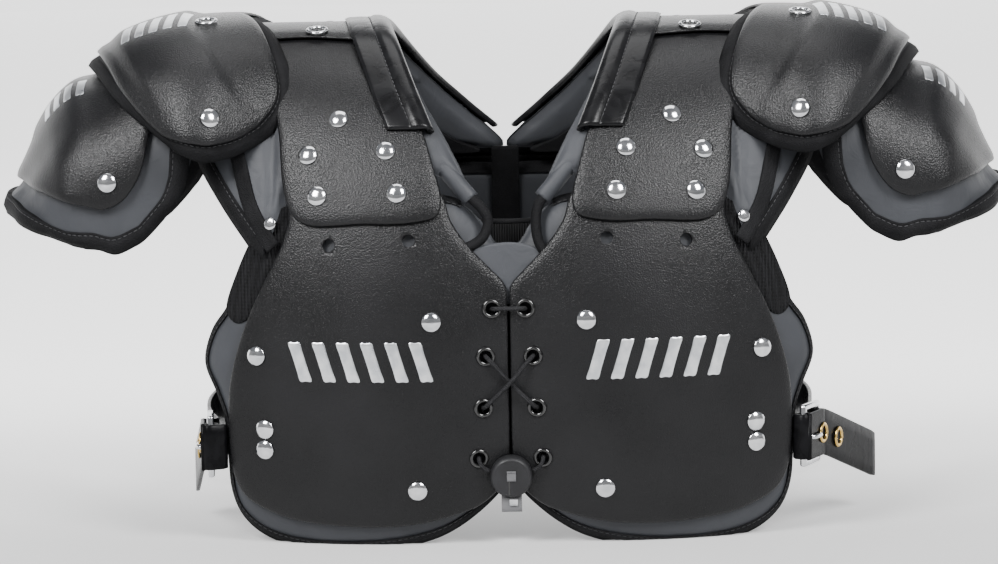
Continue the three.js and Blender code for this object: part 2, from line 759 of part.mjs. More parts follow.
// A pressed eyelet: a flange on the plate and a barrel through it
function eyelet(name, place, solid) {
  const radius = EYELET_DIAMETER / 2;
  const bore = EYELET_BORE / 2;
  const { top, bottom } = faceHeights(solid, place, radius);
  const seat = top + SEAT_GAP;
  const profile = [
    [bore, bottom], [bore + EYELET_BARREL, bottom], [bore + EYELET_BARREL, seat], [radius, seat],
    [radius - EYELET_BARREL, seat + EYELET_FLANGE], [bore, seat + EYELET_FLANGE], [bore, bottom],
  ];
  return turned(name, profile, ROUND_SIDES, place, 'lacquer');
}

// A row's place on the body form
function bodyPlace(form, row, halfWidth, offset) {
  const [{ a, b }] = bodyOutline([row], halfWidth);
  return form(a, b, offset);
}

// Height of the arch layer: over the front arch on the shoulder, down on the back plate behind
function lapLift(node) {
  const turn = THREE.MathUtils.radToDeg(-node.b / HALF_DEPTH);
  const lap = 1 - THREE.MathUtils.smoothstep(turn, LAP_START_TURN, LAP_END_TURN);
  return (1 + lap) * (PLATE_WALL + LAYER_GAP);
}

// Height of the outermost arch plate's face at a turn
function archTop(turn) {
  const lift = turn > radians(LAP_FRONT_TURN) ? PLATE_WALL + LAYER_GAP : lapLift({ b: turn * HALF_DEPTH });
  return lift + PLATE_WALL;
}

// Moves a point out along the body form's normal until it clears the arch plates
function clearOfArches(side) {
  const form = bodyForm(side);
  return (point) => {
    const turn = Math.atan2(-point.y, point.z - SPRING_HEIGHT);
    const { point: base, normal } = form(side * point.x, turn * HALF_DEPTH, 0);
    const height = point.clone().sub(base).dot(normal);
    const lack = archTop(turn) + LAYER_GAP - height;
    return lack > 0 ? point.addScaledVector(normal, lack) : point;
  };
}

function epauletteBulge(a, b) {
  const along = (a - EPAULETTE_START) / EPAULETTE_LENGTH;
  const bend = (Math.abs(b) / EPAULETTE_HALF_WRAP) ** 3;
  const inner = BULGE.inner - BULGE.innerBend * bend;
  const outer = BULGE.outer - BULGE.outerBend * bend;
  const rise = THREE.MathUtils.smoothstep(along, inner - BULGE.edge, inner + BULGE.edge);
  const fall = THREE.MathUtils.smoothstep(along, outer - BULGE.edge, outer + BULGE.edge);
  const fade = THREE.MathUtils.smoothstep(bend, 0.3, 0.9);
  return BULGE_HEIGHT * rise * (1 - fall) * (1 - fade);
}

// Chest or back plate with its holes
function bodyPlate(form, outline, face, holes) {
  const solid = plate(form, bodyOutline(outline, CHEST_HALF_WIDTH, face), 8, 9);
  return holes.reduce((rest, hole) => rest.subtract(hole), solid);
}

// The floor cuts the pads flat where they stand
function standing(solid) {
  const size = 1000;
  const floor = new THREE.BoxGeometry(size, size, size);
  floor.translate(0, 0, -size / 2);
  return mainBody(solid.subtract(geometrySolid(floor)));
}

// A band swept along a line of chart points; its section is a closed loop of distances out and offsets
function sweptBand(form, stations, section) {
  const points = stations.flatMap((station) => section(station).map(([out, offset]) => (
    form(station.a + out, station.b, offset).point)));
  const sides = section(stations[0]).length;
  const triangles = [];
  for (let j = 0; j + 1 < stations.length; j += 1) {
    for (let i = 0; i < sides; i += 1) {
      const a = j * sides + i;
      const b = j * sides + (i + 1) % sides;
      triangles.push([a, b, b + sides], [a, b + sides, a + sides]);
    }
  }
  const last = (stations.length - 1) * sides;
  const outline = section(stations[0]).map(([out, offset]) => new THREE.Vector2(out, offset));
  THREE.ShapeUtils.triangulateShape(outline, []).forEach(([i, j, k]) => {
    triangles.push([i, k, j], [last + i, last + j, last + k]);
  });
  return toSolid(points, triangles);
}

// Vinyl binding with a rolled bead round the neck edge of the arch plates
function neckTrim(form) {
  const curve = new THREE.CatmullRomCurve3(
    NECK_EDGE.map((row) => new THREE.Vector3(row.across * ARCH_HALF_WIDTH, radians(row.turn) * HALF_DEPTH, 0)),
    false, 'catmullrom', 0.5);
  const stations = curve.getSpacedPoints(16).map((point) => ({ a: point.x, b: point.y }));
  const section = (station) => {
    const turn = station.b / HALF_DEPTH;
    const lap = 1 - THREE.MathUtils.smoothstep(turn, radians(LAP_FRONT_TURN), radians(2 * LAP_FRONT_TURN));
    const lift = turn > 0 ? (1 + lap) * (PLATE_WALL + LAYER_GAP) : lapLift(station);
    const base = lift + PLATE_WALL + LAYER_GAP;
    return [
      [TRIM_WIDTH, base], [TRIM_WIDTH, base + TRIM_WALL], [0, base + TRIM_WALL + TRIM_CROWN],
      [-TRIM_BEAD, base + TRIM_CROWN], [-1.2 * TRIM_BEAD, base - 0.5 * TRIM_BEAD],
      [-TRIM_BEAD, base - TRIM_BEAD], [-TRIM_LIP, base - TRIM_BEAD], [-TRIM_LIP, base],
    ];
  };
  return sweptBand(form, stations, section);
}

// Room left behind the plates for the lace, near the breastbone
function laceRelief(a) {
  return LACE_RELIEF * Math.exp(-((a / LACE_RELIEF_HALF_WIDTH) ** 4));
}

// Ribbed elastic behind the chest pads, bowed down across the front of the neck
function neckWeb() {
  const form = bodyForm(1);
  const points = [-1, -0.65, -0.33, 0, 0.33, 0.65, 1].flatMap((share) => {
    const a = share * NECK_WEB_HALF_WIDTH;
    const outer = -PAD_WALL - LAYER_GAP - WEB_SEAT - laceRelief(a);
    const top = NECK_WEB_TOP - NECK_WEB_BOW * (1 - share ** 2);
    const upper = bodyTurn(top * CREST_HEIGHT, FRONT) * HALF_DEPTH;
    const lower = bodyTurn((top - NECK_WEB_HEIGHT) * CREST_HEIGHT, FRONT) * HALF_DEPTH;
    return [
      form(a, upper, outer).point, form(a, upper, outer - NECK_WEB_WALL).point,
      form(a, lower, outer - NECK_WEB_WALL).point, form(a, lower, outer).point,
    ];
  });
  return loftedBar(points, 4);
}

// A closed bar through equal sections of a few corners each
function loftedBar(points, sides) {
  const triangles = [];
  const sections = points.length / sides;
  for (let j = 0; j + 1 < sections; j += 1) {
    for (let i = 0; i < sides; i += 1) {
      const a = j * sides + i;
      const b = j * sides + (i + 1) % sides;
      triangles.push([a, b, b + sides], [a, b + sides, a + sides]);
    }
  }
  const last = points.length - sides;
  for (let i = 1; i + 1 < sides; i += 1) {
    triangles.push([0, i + 1, i], [last, last + i, last + i + 1]);
  }
  return toSolid(points, triangles);
}

// A flat strap: its path lies in plan, centre gives its height, and its width stands upright
function strap(path, centre, width, wall) {
  const points = path.flatMap((point, i) => {
    const before = path[Math.max(0, i - 1)];
    const after = path[Math.min(path.length - 1, i + 1)];
    const into = i > 0 ? point.clone().sub(before).normalize() : after.clone().sub(point).normalize();
    const out = i + 1 < path.length ? after.clone().sub(point).normalize() : into;
    const direction = into.clone().add(out).normalize();
    const mitre = wall / 2 / direction.dot(into);
    const square = new THREE.Vector2(-direction.y, direction.x).multiplyScalar(mitre);
    const middle = centre(i / (path.length - 1));
    const corner = (face, edge) => new THREE.Vector3(
      point.x + face * square.x, point.y + face * square.y, middle + edge * width / 2);
    return [corner(1, 1), corner(-1, 1), corner(-1, -1), corner(1, -1)];
  });
  return loftedBar(points, 4);
}

// Places of a side's buckle, in plan: its middle, and the direction of the belt's tail away from it
function buckleFrame(side) {
  const tail = side > 0 ? RIGHT_TAIL : LEFT_TAIL;
  const direction = new THREE.Vector2(Math.sin(radians(tail.splay)), Math.cos(radians(tail.splay)));
  const outward = new THREE.Vector2(direction.y, -direction.x);
  const centre = new THREE.Vector2(BUCKLE_PLACE.out * CHEST_HALF_WIDTH, BUCKLE_PLACE.back * HALF_DEPTH);
  const reach = (BUCKLE_LENGTH - BUCKLE_WIRE) / 2;
  return {
    centre, direction, outward, sag: tail.sag, up: BUCKLE_UP * CREST_HEIGHT,
    rearBar: centre.clone().addScaledVector(direction, reach),
    frontBar: centre.clone().addScaledVector(direction, -reach),
  };
}

// Points of a turn round a bar from one angle to another; 0 is its body side and a half turn its outer side
function turnRound(bar, direction, outward, way, from, to) {
  const radius = BUCKLE_WIRE * Math.SQRT1_2 + BAR_SEAT + BELT_WALL / 2;
  const steps = Math.round(Math.abs(to - from) / 30);
  const points = [];
  for (let i = 0; i <= steps; i += 1) {
    const angle = radians(from + (to - from) * i / steps);
    points.push(bar.clone()
      .addScaledVector(outward, -radius * Math.cos(angle))
      .addScaledVector(direction, -way * radius * Math.sin(angle)));
  }
  return points;
}

const mirroredPlan = (points, side) => points.map((point) => new THREE.Vector2(side * point.x, point.y));

// Side belt: from the back plate round the side, through the buckle and back as a free tail
function belt(side, form) {
  const { direction, outward, rearBar, sag, up } = buckleFrame(side);
  const around = turnRound(rearBar, direction, outward, 1, 0, 180);
  const b = bodyTurn(up + BELT_WIDTH / 2, REAR) * HALF_DEPTH;
  const onPlate = BELT_ON_PLATE.map((across) => {
    const { point } = form(across * CHEST_HALF_WIDTH, b, PLATE_WALL + BELT_GAP + BELT_WALL / 2);
    return new THREE.Vector3(side * point.x, point.y, 0);
  });
  const run = new THREE.CatmullRomCurve3([
    ...onPlate,
    ...BELT_RUN.map((row) => new THREE.Vector3(row.out * CHEST_HALF_WIDTH, row.back * HALF_DEPTH, 0)),
    new THREE.Vector3(around[0].x, around[0].y, 0),
  ], false, 'catmullrom', 0.5);
  const inner = run.getSpacedPoints(12).map((point) => new THREE.Vector2(point.x, point.y));
  const end = around[around.length - 1];
  const tail = [1, 2, 3, 4].map((step) => (
    end.clone()
      .addScaledVector(direction, TAIL_LENGTH * step / 4)
      .addScaledVector(outward, TAIL_FLARE * step / 4)));
  const path = mirroredPlan([...inner.slice(0, -1), ...around, ...tail], side);
  const free = 1 - tail.length / (path.length - 1);
  const centre = (share) => up - sag * Math.max(0, (share - free) / (1 - free));
  return strap(path, centre, BELT_WIDTH, BELT_WALL);
}

// Short tab from behind the chest plate's edge round the buckle's front bar
function beltTab(side, form) {
  const { direction, outward, frontBar, up } = buckleFrame(side);
  const around = turnRound(frontBar, direction, outward, -1, 270, 0);
  const b = bodyTurn(up, FRONT) * HALF_DEPTH;
  const { point } = form(CHEST_HALF_WIDTH + 0.5 * BELT_WALL + 2 * SEAT_GAP, b, 0);
  const path = mirroredPlan([new THREE.Vector2(side * point.x, point.y), ...around], side);
  return strap(path, () => up, BELT_WIDTH - 1, BELT_WALL);
}

// Rectangular wire frame of the buckle
function buckle(side) {
  const { centre, direction, outward, up } = buckleFrame(side);
  const halfLong = BUCKLE_LENGTH / 2;
  const halfWide = BUCKLE_WIDTH / 2;
  const outline = new THREE.Shape([
    new THREE.Vector2(-halfLong, -halfWide), new THREE.Vector2(halfLong, -halfWide),
    new THREE.Vector2(halfLong, halfWide), new THREE.Vector2(-halfLong, halfWide),
  ]);
  const holeLong = halfLong - BUCKLE_WIRE;
  const holeWide = halfWide - BUCKLE_WIRE;
  outline.holes.push(new THREE.Path([
    new THREE.Vector2(-holeLong, -holeWide), new THREE.Vector2(-holeLong, holeWide),
    new THREE.Vector2(holeLong, holeWide), new THREE.Vector2(holeLong, -holeWide),
  ]));
  const frame = new THREE.ExtrudeGeometry(outline, { depth: BUCKLE_WIRE, bevelEnabled: false });
  frame.translate(0, 0, -BUCKLE_WIRE / 2);
  const basis = new THREE.Matrix4().makeBasis(
    new THREE.Vector3(side * direction.x, direction.y, 0), new THREE.Vector3(0, 0, 1),
    new THREE.Vector3(side * outward.x, outward.y, 0));
  frame.applyMatrix4(basis.setPosition(side * centre.x, centre.y, up));
  return geometrySolid(frame);
}

// Prong that lies along the outside of the tail, from the front bar to the rear bar
function buckleProng(side) {
  const { direction, outward, frontBar, rearBar, up } = buckleFrame(side);
  const lift = BUCKLE_WIRE * Math.SQRT1_2 + 2 * SEAT_GAP + BELT_WALL + PRONG_DIAMETER / 2;
  const from = frontBar.clone().addScaledVector(outward, lift).addScaledVector(direction, -1);
  const to = rearBar.clone().addScaledVector(outward, lift).addScaledVector(direction, 3);
  const radius = PRONG_DIAMETER / 2;
  const prong = new THREE.CylinderGeometry(radius, radius, from.distanceTo(to), ROUND_SIDES);
  const axis = new THREE.Vector3(side * direction.x, direction.y, 0);
  prong.applyQuaternion(new THREE.Quaternion().setFromUnitVectors(new THREE.Vector3(0, 1, 0), axis));
  prong.translate(side * (from.x + to.x) / 2, (from.y + to.y) / 2, up);
  return geometrySolid(prong);
}

// Lace: from the lock up one side, out and in through the eyelets, across at the top and back down
function laceRoute() {
  const radius = LACE_DIAMETER / 2;
  const over = PLATE_WALL + EYELET_FLANGE + radius + 3 * SEAT_GAP;
  const under = -radius - 3 * SEAT_GAP;
  const rows = EYELET_ROWS.map((row) => ({ x: row.across * CHEST_HALF_WIDTH, z: row.up * CREST_HEIGHT }));
  const at = (x, z, offset) => bodyForm(1)(x, bodyTurn(z, FRONT) * HALF_DEPTH, offset).point;
  const lock = LOCK_UP * CREST_HEIGHT;
  const [first, second, third, fourth] = rows;
  const bend = 1.3 * LACE_DIAMETER;
  const down = (side, row) => [
    at(side * row.x, row.z, over - radius),
    at(side * row.x, row.z, PLATE_WALL / 2),
    at(side * row.x, row.z, under + radius),
  ];
  const up = (side, row) => down(side, row).reverse();
  const half = (side, crossing) => [
    at(side * (LOCK_DIAMETER / 2 + LAYER_GAP), lock + LACE_DIAMETER, over + SEAT_GAP),
    at(side * fourth.x, fourth.z - bend, over + SEAT_GAP),
    ...down(side, fourth),
    at(side * fourth.x, fourth.z + bend, under),
    at(side * (third.x + fourth.x) / 2, (third.z + fourth.z) / 2, under),
    at(side * third.x, third.z - bend, under),
    ...up(side, third),
    at(side * (third.x - 0.7 * bend), third.z + 0.7 * bend, over),
    at(0, (second.z + third.z) / 2, over + crossing),
    at(-side * (second.x - 0.7 * bend), second.z - 0.7 * bend, over),
    ...down(-side, second),
    at(-side * second.x, second.z + bend, under),
    at(-side * first.x, first.z - bend, under),
    ...up(-side, first),
    at(-side * (first.x - bend), first.z, over),
  ];
  return [...half(1, 0), ...half(-1, LACE_DIAMETER + 2 * SEAT_GAP).reverse()];
}

function lace() {
  const curve = new THREE.CatmullRomCurve3(laceRoute(), false, 'catmullrom', 0.5);
  const section = new THREE.Shape();
  section.absarc(0, 0, LACE_DIAMETER / 2, 0, 2 * Math.PI);
  return geometrySolid(new THREE.ExtrudeGeometry(section, { curveSegments: 4, steps: 66, extrudePath: curve }));
}

// Where the lock's flat back stands clear of both plates
function lockPlace() {
  const form = bodyForm(1);
  const height = LOCK_UP * CREST_HEIGHT;
  const { point, normal } = form(0, bodyTurn(height, FRONT) * HALF_DEPTH, 0);
  const reach = [-1, -0.5, 0, 0.5, 1].flatMap((u) => [-1, 0, 1].map((v) => {
    const x = u * LOCK_DIAMETER / 2;
    const z = height + v * LOCK_DIAMETER / 2;
    return form(x, bodyTurn(z, FRONT) * HALF_DEPTH, PLATE_WALL).point.sub(point).dot(normal);
  }));
  return { point: point.addScaledVector(normal, Math.max(...reach) + SEAT_GAP), normal };
}

function laceLock() {
  const radius = LOCK_DIAMETER / 2;
  const profile = [
    [0, 0], [radius, 0], [radius, LOCK_RIM.up * LOCK_HEIGHT], [LOCK_RIM.out * radius, LOCK_HEIGHT],
    [0, LOCK_HEIGHT],
  ];
  return turned('lace_lock', profile, 20, lockPlace(), 'lock');
}

// Small tongue that hangs under the lock
function laceLockTab() {
  const { point, normal } = lockPlace();
  const tab = new THREE.BoxGeometry(LOCK_TAB_WIDTH, LOCK_TAB_LENGTH, LOCK_TAB_WALL);
  const down = -LOCK_DIAMETER / 2 - SEAT_GAP - LOCK_TAB_LENGTH / 2;
  tab.translate(0, down, LOCK_TAB_WALL / 2 + SEAT_GAP);
  const across = new THREE.Vector3(1, 0, 0);
  const basis = new THREE.Matrix4().makeBasis(across, normal.clone().cross(across), normal);
  tab.applyMatrix4(basis.setPosition(point));
  return geometrySolid(tab);
}

// One side of the pad; side is 1 on the right of the front view and -1 on the left
function halfPad(side) {
  const word = side > 0 ? 'right' : 'left';
  const form = bodyForm(side);
  const group = new THREE.Group();
  const add = (name, solid, look) => group.add(meshOf(`${name}_${word}`, solid, look));

  const onChest = (row, offset) => bodyPlace(form, row, CHEST_HALF_WIDTH, offset);
  const onArch = (row, offset) => bodyPlace(form, row, ARCH_HALF_WIDTH, offset);
  const holeDiameter = EYELET_BORE + 2 * (EYELET_BARREL + HOLE_CLEARANCE);
  const holes = [
    ...EYELET_ROWS.map((row) => drill(onChest(row, PLATE_WALL / 2), holeDiameter, 3 * PLATE_WALL)),
    ...VENTS.map((row) => drill(onChest(row, PLATE_WALL / 2), VENT_DIAMETER, 3 * PLATE_WALL)),
  ];
  const chestPlate = bodyPlate(form, CHEST_PLATE_OUTLINE, FRONT, holes);
  add('chest_plate', chestPlate, 'plate');
  add('back_plate', bodyPlate(form, BACK_PLATE_OUTLINE, REAR, []), 'plate');

  const archLift = PLATE_WALL + LAYER_GAP;
  const frontArchOutline = bodyOutline(FRONT_ARCH_OUTLINE, ARCH_HALF_WIDTH);
  const rearArchOutline = bodyOutline(REAR_ARCH_OUTLINE, ARCH_HALF_WIDTH);
  const frontArch = plate(form, frontArchOutline, 6, 8, () => archLift);
  add('front_arch', frontArch, 'plate');
  add('rear_arch', plate(form, rearArchOutline, 6, 10, lapLift), 'plate');
  ARCH_RIVETS.forEach((row, i) => {
    group.add(rivet(`arch_rivet_${i + 1}_${word}`, onArch(row, archLift + PLATE_WALL), frontArch));
  });
  EYELET_ROWS.forEach((row, i) => {
    group.add(eyelet(`lace_eyelet_${i + 1}_${word}`, onChest(row, 0), chestPlate));
  });

  const chestPad = pad(form, bodyOutline(CHEST_PAD_OUTLINE, CHEST_HALF_WIDTH), 7, 8,
    (node) => -LAYER_GAP - laceRelief(node.a), () => PAD_WALL);
  add('chest_pad', standing(chestPad), 'padding');
  const backPad = pad(form, bodyOutline(BACK_PAD_OUTLINE, CHEST_HALF_WIDTH, REAR), 7, 8,
    () => -LAYER_GAP, () => PAD_WALL);
  add('back_pad', standing(backPad), 'padding');
  const shoulderPad = pad(form, bodyOutline(SHOULDER_PAD_OUTLINE, ARCH_HALF_WIDTH), 6, 14,
    () => PLATE_WALL, () => PAD_WALL);
  add('shoulder_pad', shoulderPad, 'padding');
  add('neck_trim', neckTrim(form), 'vinyl');

  const upper = flapForm(
    side, EPAULETTE_RIDGE, EPAULETTE_RISE, epauletteBulge, NO_EASE, EPAULETTE_HALF_WRAP);
  const lower = flapForm(side, CUP_RIDGE, 0, () => 0, LOBE_EASE, CUP_HALF_WRAP);
  const upperOutline = flapOutline(EPAULETTE_OUTLINE, EPAULETTE_START, EPAULETTE_LENGTH, EPAULETTE_HALF_WRAP);
  const lowerOutline = flapOutline(CUP_OUTLINE, CUP_START, CUP_LENGTH, CUP_HALF_WRAP);
  const lowerPadOutline = flapOutline(CUP_PAD_OUTLINE, CUP_START, CUP_LENGTH, CUP_HALF_WRAP);
  const flapLift = () => -PLATE_WALL;
  const epaulettePlace = upper(EPAULETTE_START + EPAULETTE_RIVET.along * EPAULETTE_LENGTH,
    EPAULETTE_RIVET.around * EPAULETTE_HALF_WRAP, 0);
  const cupPlace = lower(CUP_START + CUP_RIVET.along * CUP_LENGTH, CUP_RIVET.around * CUP_HALF_WRAP, 0);
  const epaulette = plate(upper, upperOutline, 9, 8, flapLift);
  const cup = plate(lower, lowerOutline, 8, 9, flapLift);
  add('epaulette', epaulette, 'plate');
  add('shoulder_cup', cup, 'plate');
  group.add(rivet(`epaulette_rivet_${word}`, epaulettePlace, epaulette));
  group.add(rivet(`cup_rivet_${word}`, cupPlace, cup));

  const lapped = (node) => THREE.MathUtils.smoothstep(node.a / EPAULETTE_LENGTH, LAPPED_FROM, LAPPED_TO);
  const upperPadWall = (node) => THREE.MathUtils.lerp(FLAP_PAD_WALL, LAPPED_PAD_WALL, lapped(node));
  add('epaulette_pad', pad(upper, grown(upperOutline, EPAULETTE_PAD_MARGIN), 9, 8,
    () => -PLATE_WALL - FLAP_GAP, upperPadWall, clearOfArches(side)), 'padding');
  const hem = (node) => THREE.MathUtils.smoothstep((node.a - CUP_START) / CUP_LENGTH, FLARE_FROM, FLARE_TO);
  add('cup_pad', pad(lower, lowerPadOutline, 8, 9,
    (node) => -PLATE_WALL - CUP_PAD_GAP + CUP_PAD_FLARE * hem(node), () => FLAP_PAD_WALL), 'padding');

  add('belt', belt(side, form), 'vinyl');
  add('belt_tab', beltTab(side, form), 'vinyl');
  add('buckle', buckle(side), 'chrome');
  add('buckle_prong', buckleProng(side), 'chrome');
  return group;
}

// Webbing over the seam of the two back plates
function backWeb() {
  const form = bodyForm(1);
  const base = PLATE_WALL + WEB_GAP;
  const columns = [-1, -0.5, 0, 0.5, 1].map((share) => share * BACK_WEB_WIDTH / 2);
  const points = BACK_WEB_ROWS.flatMap((up) => {
    const b = bodyTurn(up * CREST_HEIGHT, REAR) * HALF_DEPTH;
    return [
      ...columns.map((a) => form(a, b, base + BACK_WEB_WALL).point),
      ...columns.toReversed().map((a) => form(a, b, base).point),
    ];
  });
  return loftedBar(points, 2 * columns.length);
}

const shoulderPad = new THREE.Group();
shoulderPad.add(halfPad(1), halfPad(-1));
shoulderPad.add(meshOf('neck_web', neckWeb(), 'elastic'));
shoulderPad.add(meshOf('back_web', backWeb(), 'elastic'));
shoulderPad.add(meshOf('lace', lace(), 'elastic'));
shoulderPad.add(laceLock());
shoulderPad.add(meshOf('lace_lock_tab', laceLockTab(), 'lockTab'));

export default shoulderPad;
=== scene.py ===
"""Looks of a youth football shoulder pad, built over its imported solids. Metres, +Z up, the chest faces -Y."""
import math

import bmesh
import bpy
import numpy as np
from mathutils import Matrix, Vector, noise


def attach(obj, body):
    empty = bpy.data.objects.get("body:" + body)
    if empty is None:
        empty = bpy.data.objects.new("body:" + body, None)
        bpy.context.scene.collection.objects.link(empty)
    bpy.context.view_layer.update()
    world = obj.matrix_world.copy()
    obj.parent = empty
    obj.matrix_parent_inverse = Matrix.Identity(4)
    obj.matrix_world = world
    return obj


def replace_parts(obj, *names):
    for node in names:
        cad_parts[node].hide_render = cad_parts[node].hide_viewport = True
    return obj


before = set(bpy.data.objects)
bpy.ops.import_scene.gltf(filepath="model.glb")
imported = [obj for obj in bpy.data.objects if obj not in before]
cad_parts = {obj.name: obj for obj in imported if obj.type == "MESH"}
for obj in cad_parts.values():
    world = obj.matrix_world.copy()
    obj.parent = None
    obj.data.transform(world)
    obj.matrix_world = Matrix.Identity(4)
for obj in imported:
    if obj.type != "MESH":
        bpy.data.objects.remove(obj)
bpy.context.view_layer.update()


def linked(name, data):
    """A new object in the scene."""
    made = bpy.data.objects.new(name, data)
    bpy.context.scene.collection.objects.link(made)
    return made


def riding(piece):
    """Sets a piece on the body."""
    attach(piece, "root")
    return piece


def baked(piece):
    """Replaces a piece's mesh by what its modifiers make of it."""
    bpy.context.view_layer.update()
    graph = bpy.context.evaluated_depsgraph_get()
    mesh = bpy.data.meshes.new_from_object(piece.evaluated_get(graph))
    piece.modifiers.clear()
    piece.data = mesh


# The camera stands well back, a little above the middle of the chest, as for a catalogue picture.
# Its slight roll and shift are those of the photograph.
PHOTO_WIDTH = 998
FOCAL_PIXELS = 3545
CAMERA_DISTANCE = 1.95
CAMERA_PITCH = math.radians(6)
CAMERA_ROLL = math.radians(-1)
CAMERA_SHIFT = -33 / PHOTO_WIDTH
CAMERA_TARGET = Vector((-0.0044, 0, 0.145))
SENSOR_WIDTH = 36
camera = linked("camera", bpy.data.cameras.new("camera"))
camera.data.sensor_width = SENSOR_WIDTH
camera.data.lens = SENSOR_WIDTH * FOCAL_PIXELS / PHOTO_WIDTH
camera.data.shift_y = CAMERA_SHIFT
ahead = Vector((0, math.cos(CAMERA_PITCH), -math.sin(CAMERA_PITCH)))
above = Vector((0, math.sin(CAMERA_PITCH), math.cos(CAMERA_PITCH)))
camera.location = CAMERA_TARGET - ahead * CAMERA_DISTANCE
turned_view = Matrix((ahead.cross(above), above, -ahead)).transposed() @ Matrix.Rotation(CAMERA_ROLL, 3, "Z")
camera.rotation_euler = turned_view.to_euler()
bpy.context.scene.camera = camera


# Studio light: a large softbox high on each side, weaker ones over the top and behind, and a dim pale room.
# They give the broad soft highlights on the domed plates.
LIGHT_TARGET = Vector((0, 0, 0.14))


def softbox(name, place, size, watts):
    light = bpy.data.lights.new(name, "AREA")
    light.shape = "RECTANGLE"
    light.size, light.size_y = size
    light.energy = watts
    box = linked(name, light)
    box.location = place
    box.rotation_euler = (LIGHT_TARGET - place).to_track_quat("-Z", "Y").to_euler()


softbox("left_softbox", Vector((-1.0, -1.3, 1.4)), (0.7, 0.9), 66)
softbox("right_softbox", Vector((1.0, -1.3, 1.4)), (0.7, 0.9), 60)
softbox("top_softbox", Vector((0, 0.3, 1.7)), (1.2, 0.9), 12)
softbox("back_softbox", Vector((0, 2.2, 1.3)), (1.6, 0.8), 10)
room = bpy.data.worlds.new("room")
room.use_nodes = True
room_light = room.node_tree.nodes["Background"].inputs
room_light["Color"].default_value = (0.86, 0.88, 0.92, 1)
room_light["Strength"].default_value = 0.3
bpy.context.scene.world = room


# Materials are Principled shaders.
class Shade:
    def __init__(self, tree, socket):
        self.tree = tree
        self.socket = socket

    def node(self, kind, sockets=None, out=0, stops=None, **settings):
        made = self.tree.nodes.new("ShaderNode" + kind)
        for name, value in settings.items():
            setattr(made, name, value)
        for i, (place, colour) in enumerate(stops or []):
            stop = made.color_ramp.elements[i] if i < 2 else made.color_ramp.elements.new(place)
            stop.position = place
            stop.color = (*colour, 1)
        for name, value in (sockets or {}).items():
            if isinstance(value, Shade):
                self.tree.links.new(value.socket, made.inputs[name])
            else:
                made.inputs[name].default_value = value
        return Shade(self.tree, made.outputs[out])

    def maths(self, operation, *values):
        return self.node("Math", dict(enumerate(values)), operation=operation)

    def __add__(self, other):
        return self.maths("ADD", self, other)

    __radd__ = __add__

    def __mul__(self, other):
        return self.maths("MULTIPLY", self, other)

    __rmul__ = __mul__

    def noise(self, scale, detail=2.0, **sockets):
        return self.node("TexNoise", {"Vector": self, "Scale": scale, "Detail": detail, **sockets})

    def ramp(self, *stops):
        return self.node("ValToRGB", {"Fac": self}, stops=stops)

    def bump(self, depth, strength=1.0):
        return self.node("Bump", {"Height": self, "Distance": depth, "Strength": strength})


def finish(name, varying, **uniform):
    made = bpy.data.materials.new(name)
    made.use_nodes = True
    tree = made.node_tree
    shader = tree.nodes["Principled BSDF"]
    for socket, value in uniform.items():
        shader.inputs[socket.replace("_", " ")].default_value = value
    place = Shade(tree, tree.nodes.new("ShaderNodeTexCoord").outputs["Object"])
    for socket, value in varying(place).items():
        tree.links.new(value.socket, shader.inputs[socket])
    return made


# The floor is a wide plain pale sheet that turns up far away on every side, with no edge in view. It
# glows though it is no lamp: painted light, strong behind the object and almost nothing in front, so it looks
# brighter behind, as in a catalogue studio.
def painted_glow_floor(place):
    depth = place.node("SeparateXYZ", {"Vector": place}, out="Y")
    # Painted light: the floor's emission, almost none in front of the object and full behind it.
    painted_glow = depth.node("MapRange", {"Value": depth, "From Min": -0.3, "From Max": 0.6},
                      interpolation_type="SMOOTHSTEP")
    return {
        "Roughness": place.noise(6) * 0.1 + 0.75,
        "Emission Color": painted_glow.ramp((0, (0.05, 0.05, 0.05)), (1, (1, 1, 1))),
    }


FLOOR_PROFILE = [(8, 0), (9, 0.1), (9.7, 0.4), (10.2, 1.0), (10.5, 2.0), (10.6, 4.0)]
FLOOR_SEGMENTS = 64


def ring_faces(rings, width, closed=False):
    """Faces between rings of equally many points; closed joins the last ring to the first."""
    faces = []
    for k in range(rings if closed else rings - 1):
        n = (k + 1) % rings
        for i in range(width):
            m = (i + 1) % width
            faces.append((k * width + i, k * width + m, n * width + m, n * width + i))
    return faces


def backdrop():
    angles = [2 * math.pi * k / FLOOR_SEGMENTS for k in range(FLOOR_SEGMENTS)]
    verts = [(r * math.cos(angle), r * math.sin(angle), z) for r, z in FLOOR_PROFILE for angle in angles]
    faces = ring_faces(len(FLOOR_PROFILE), FLOOR_SEGMENTS)
    faces.append(tuple(range(FLOOR_SEGMENTS)))
    mesh = bpy.data.meshes.new("floor")
    mesh.from_pydata(verts, [], faces)
    # The emission strength sets how bright the floor's painted light is.
    mesh.materials.append(finish("painted_glow_white_paper", painted_glow_floor, Base_Color=(0.48, 0.48, 0.48, 1), Emission_Strength=1.8,
                                 Specular_IOR_Level=0.1))
    linked("floor", mesh)


backdrop()

# Chest plates: two shells of black thermoplastic, moulded to the body, grained like leather, and laced
# together over the breastbone. The body form that they and every other layer follow is defined here.
CREST = 0.262
SPRING = 0.095
DEPTH = 0.118
POWER = 2.3
WRAP_WIDTH = 0.205
SKIRT_TUCK = 0.1
VALLEY = 0.008
VALLEY_WIDTH = 0.035
PLATE_WALL = 0.0026
LAYER_GAP = 0.0009
LAYER = PLATE_WALL + LAYER_GAP
CHEST_WIDTH = 0.148


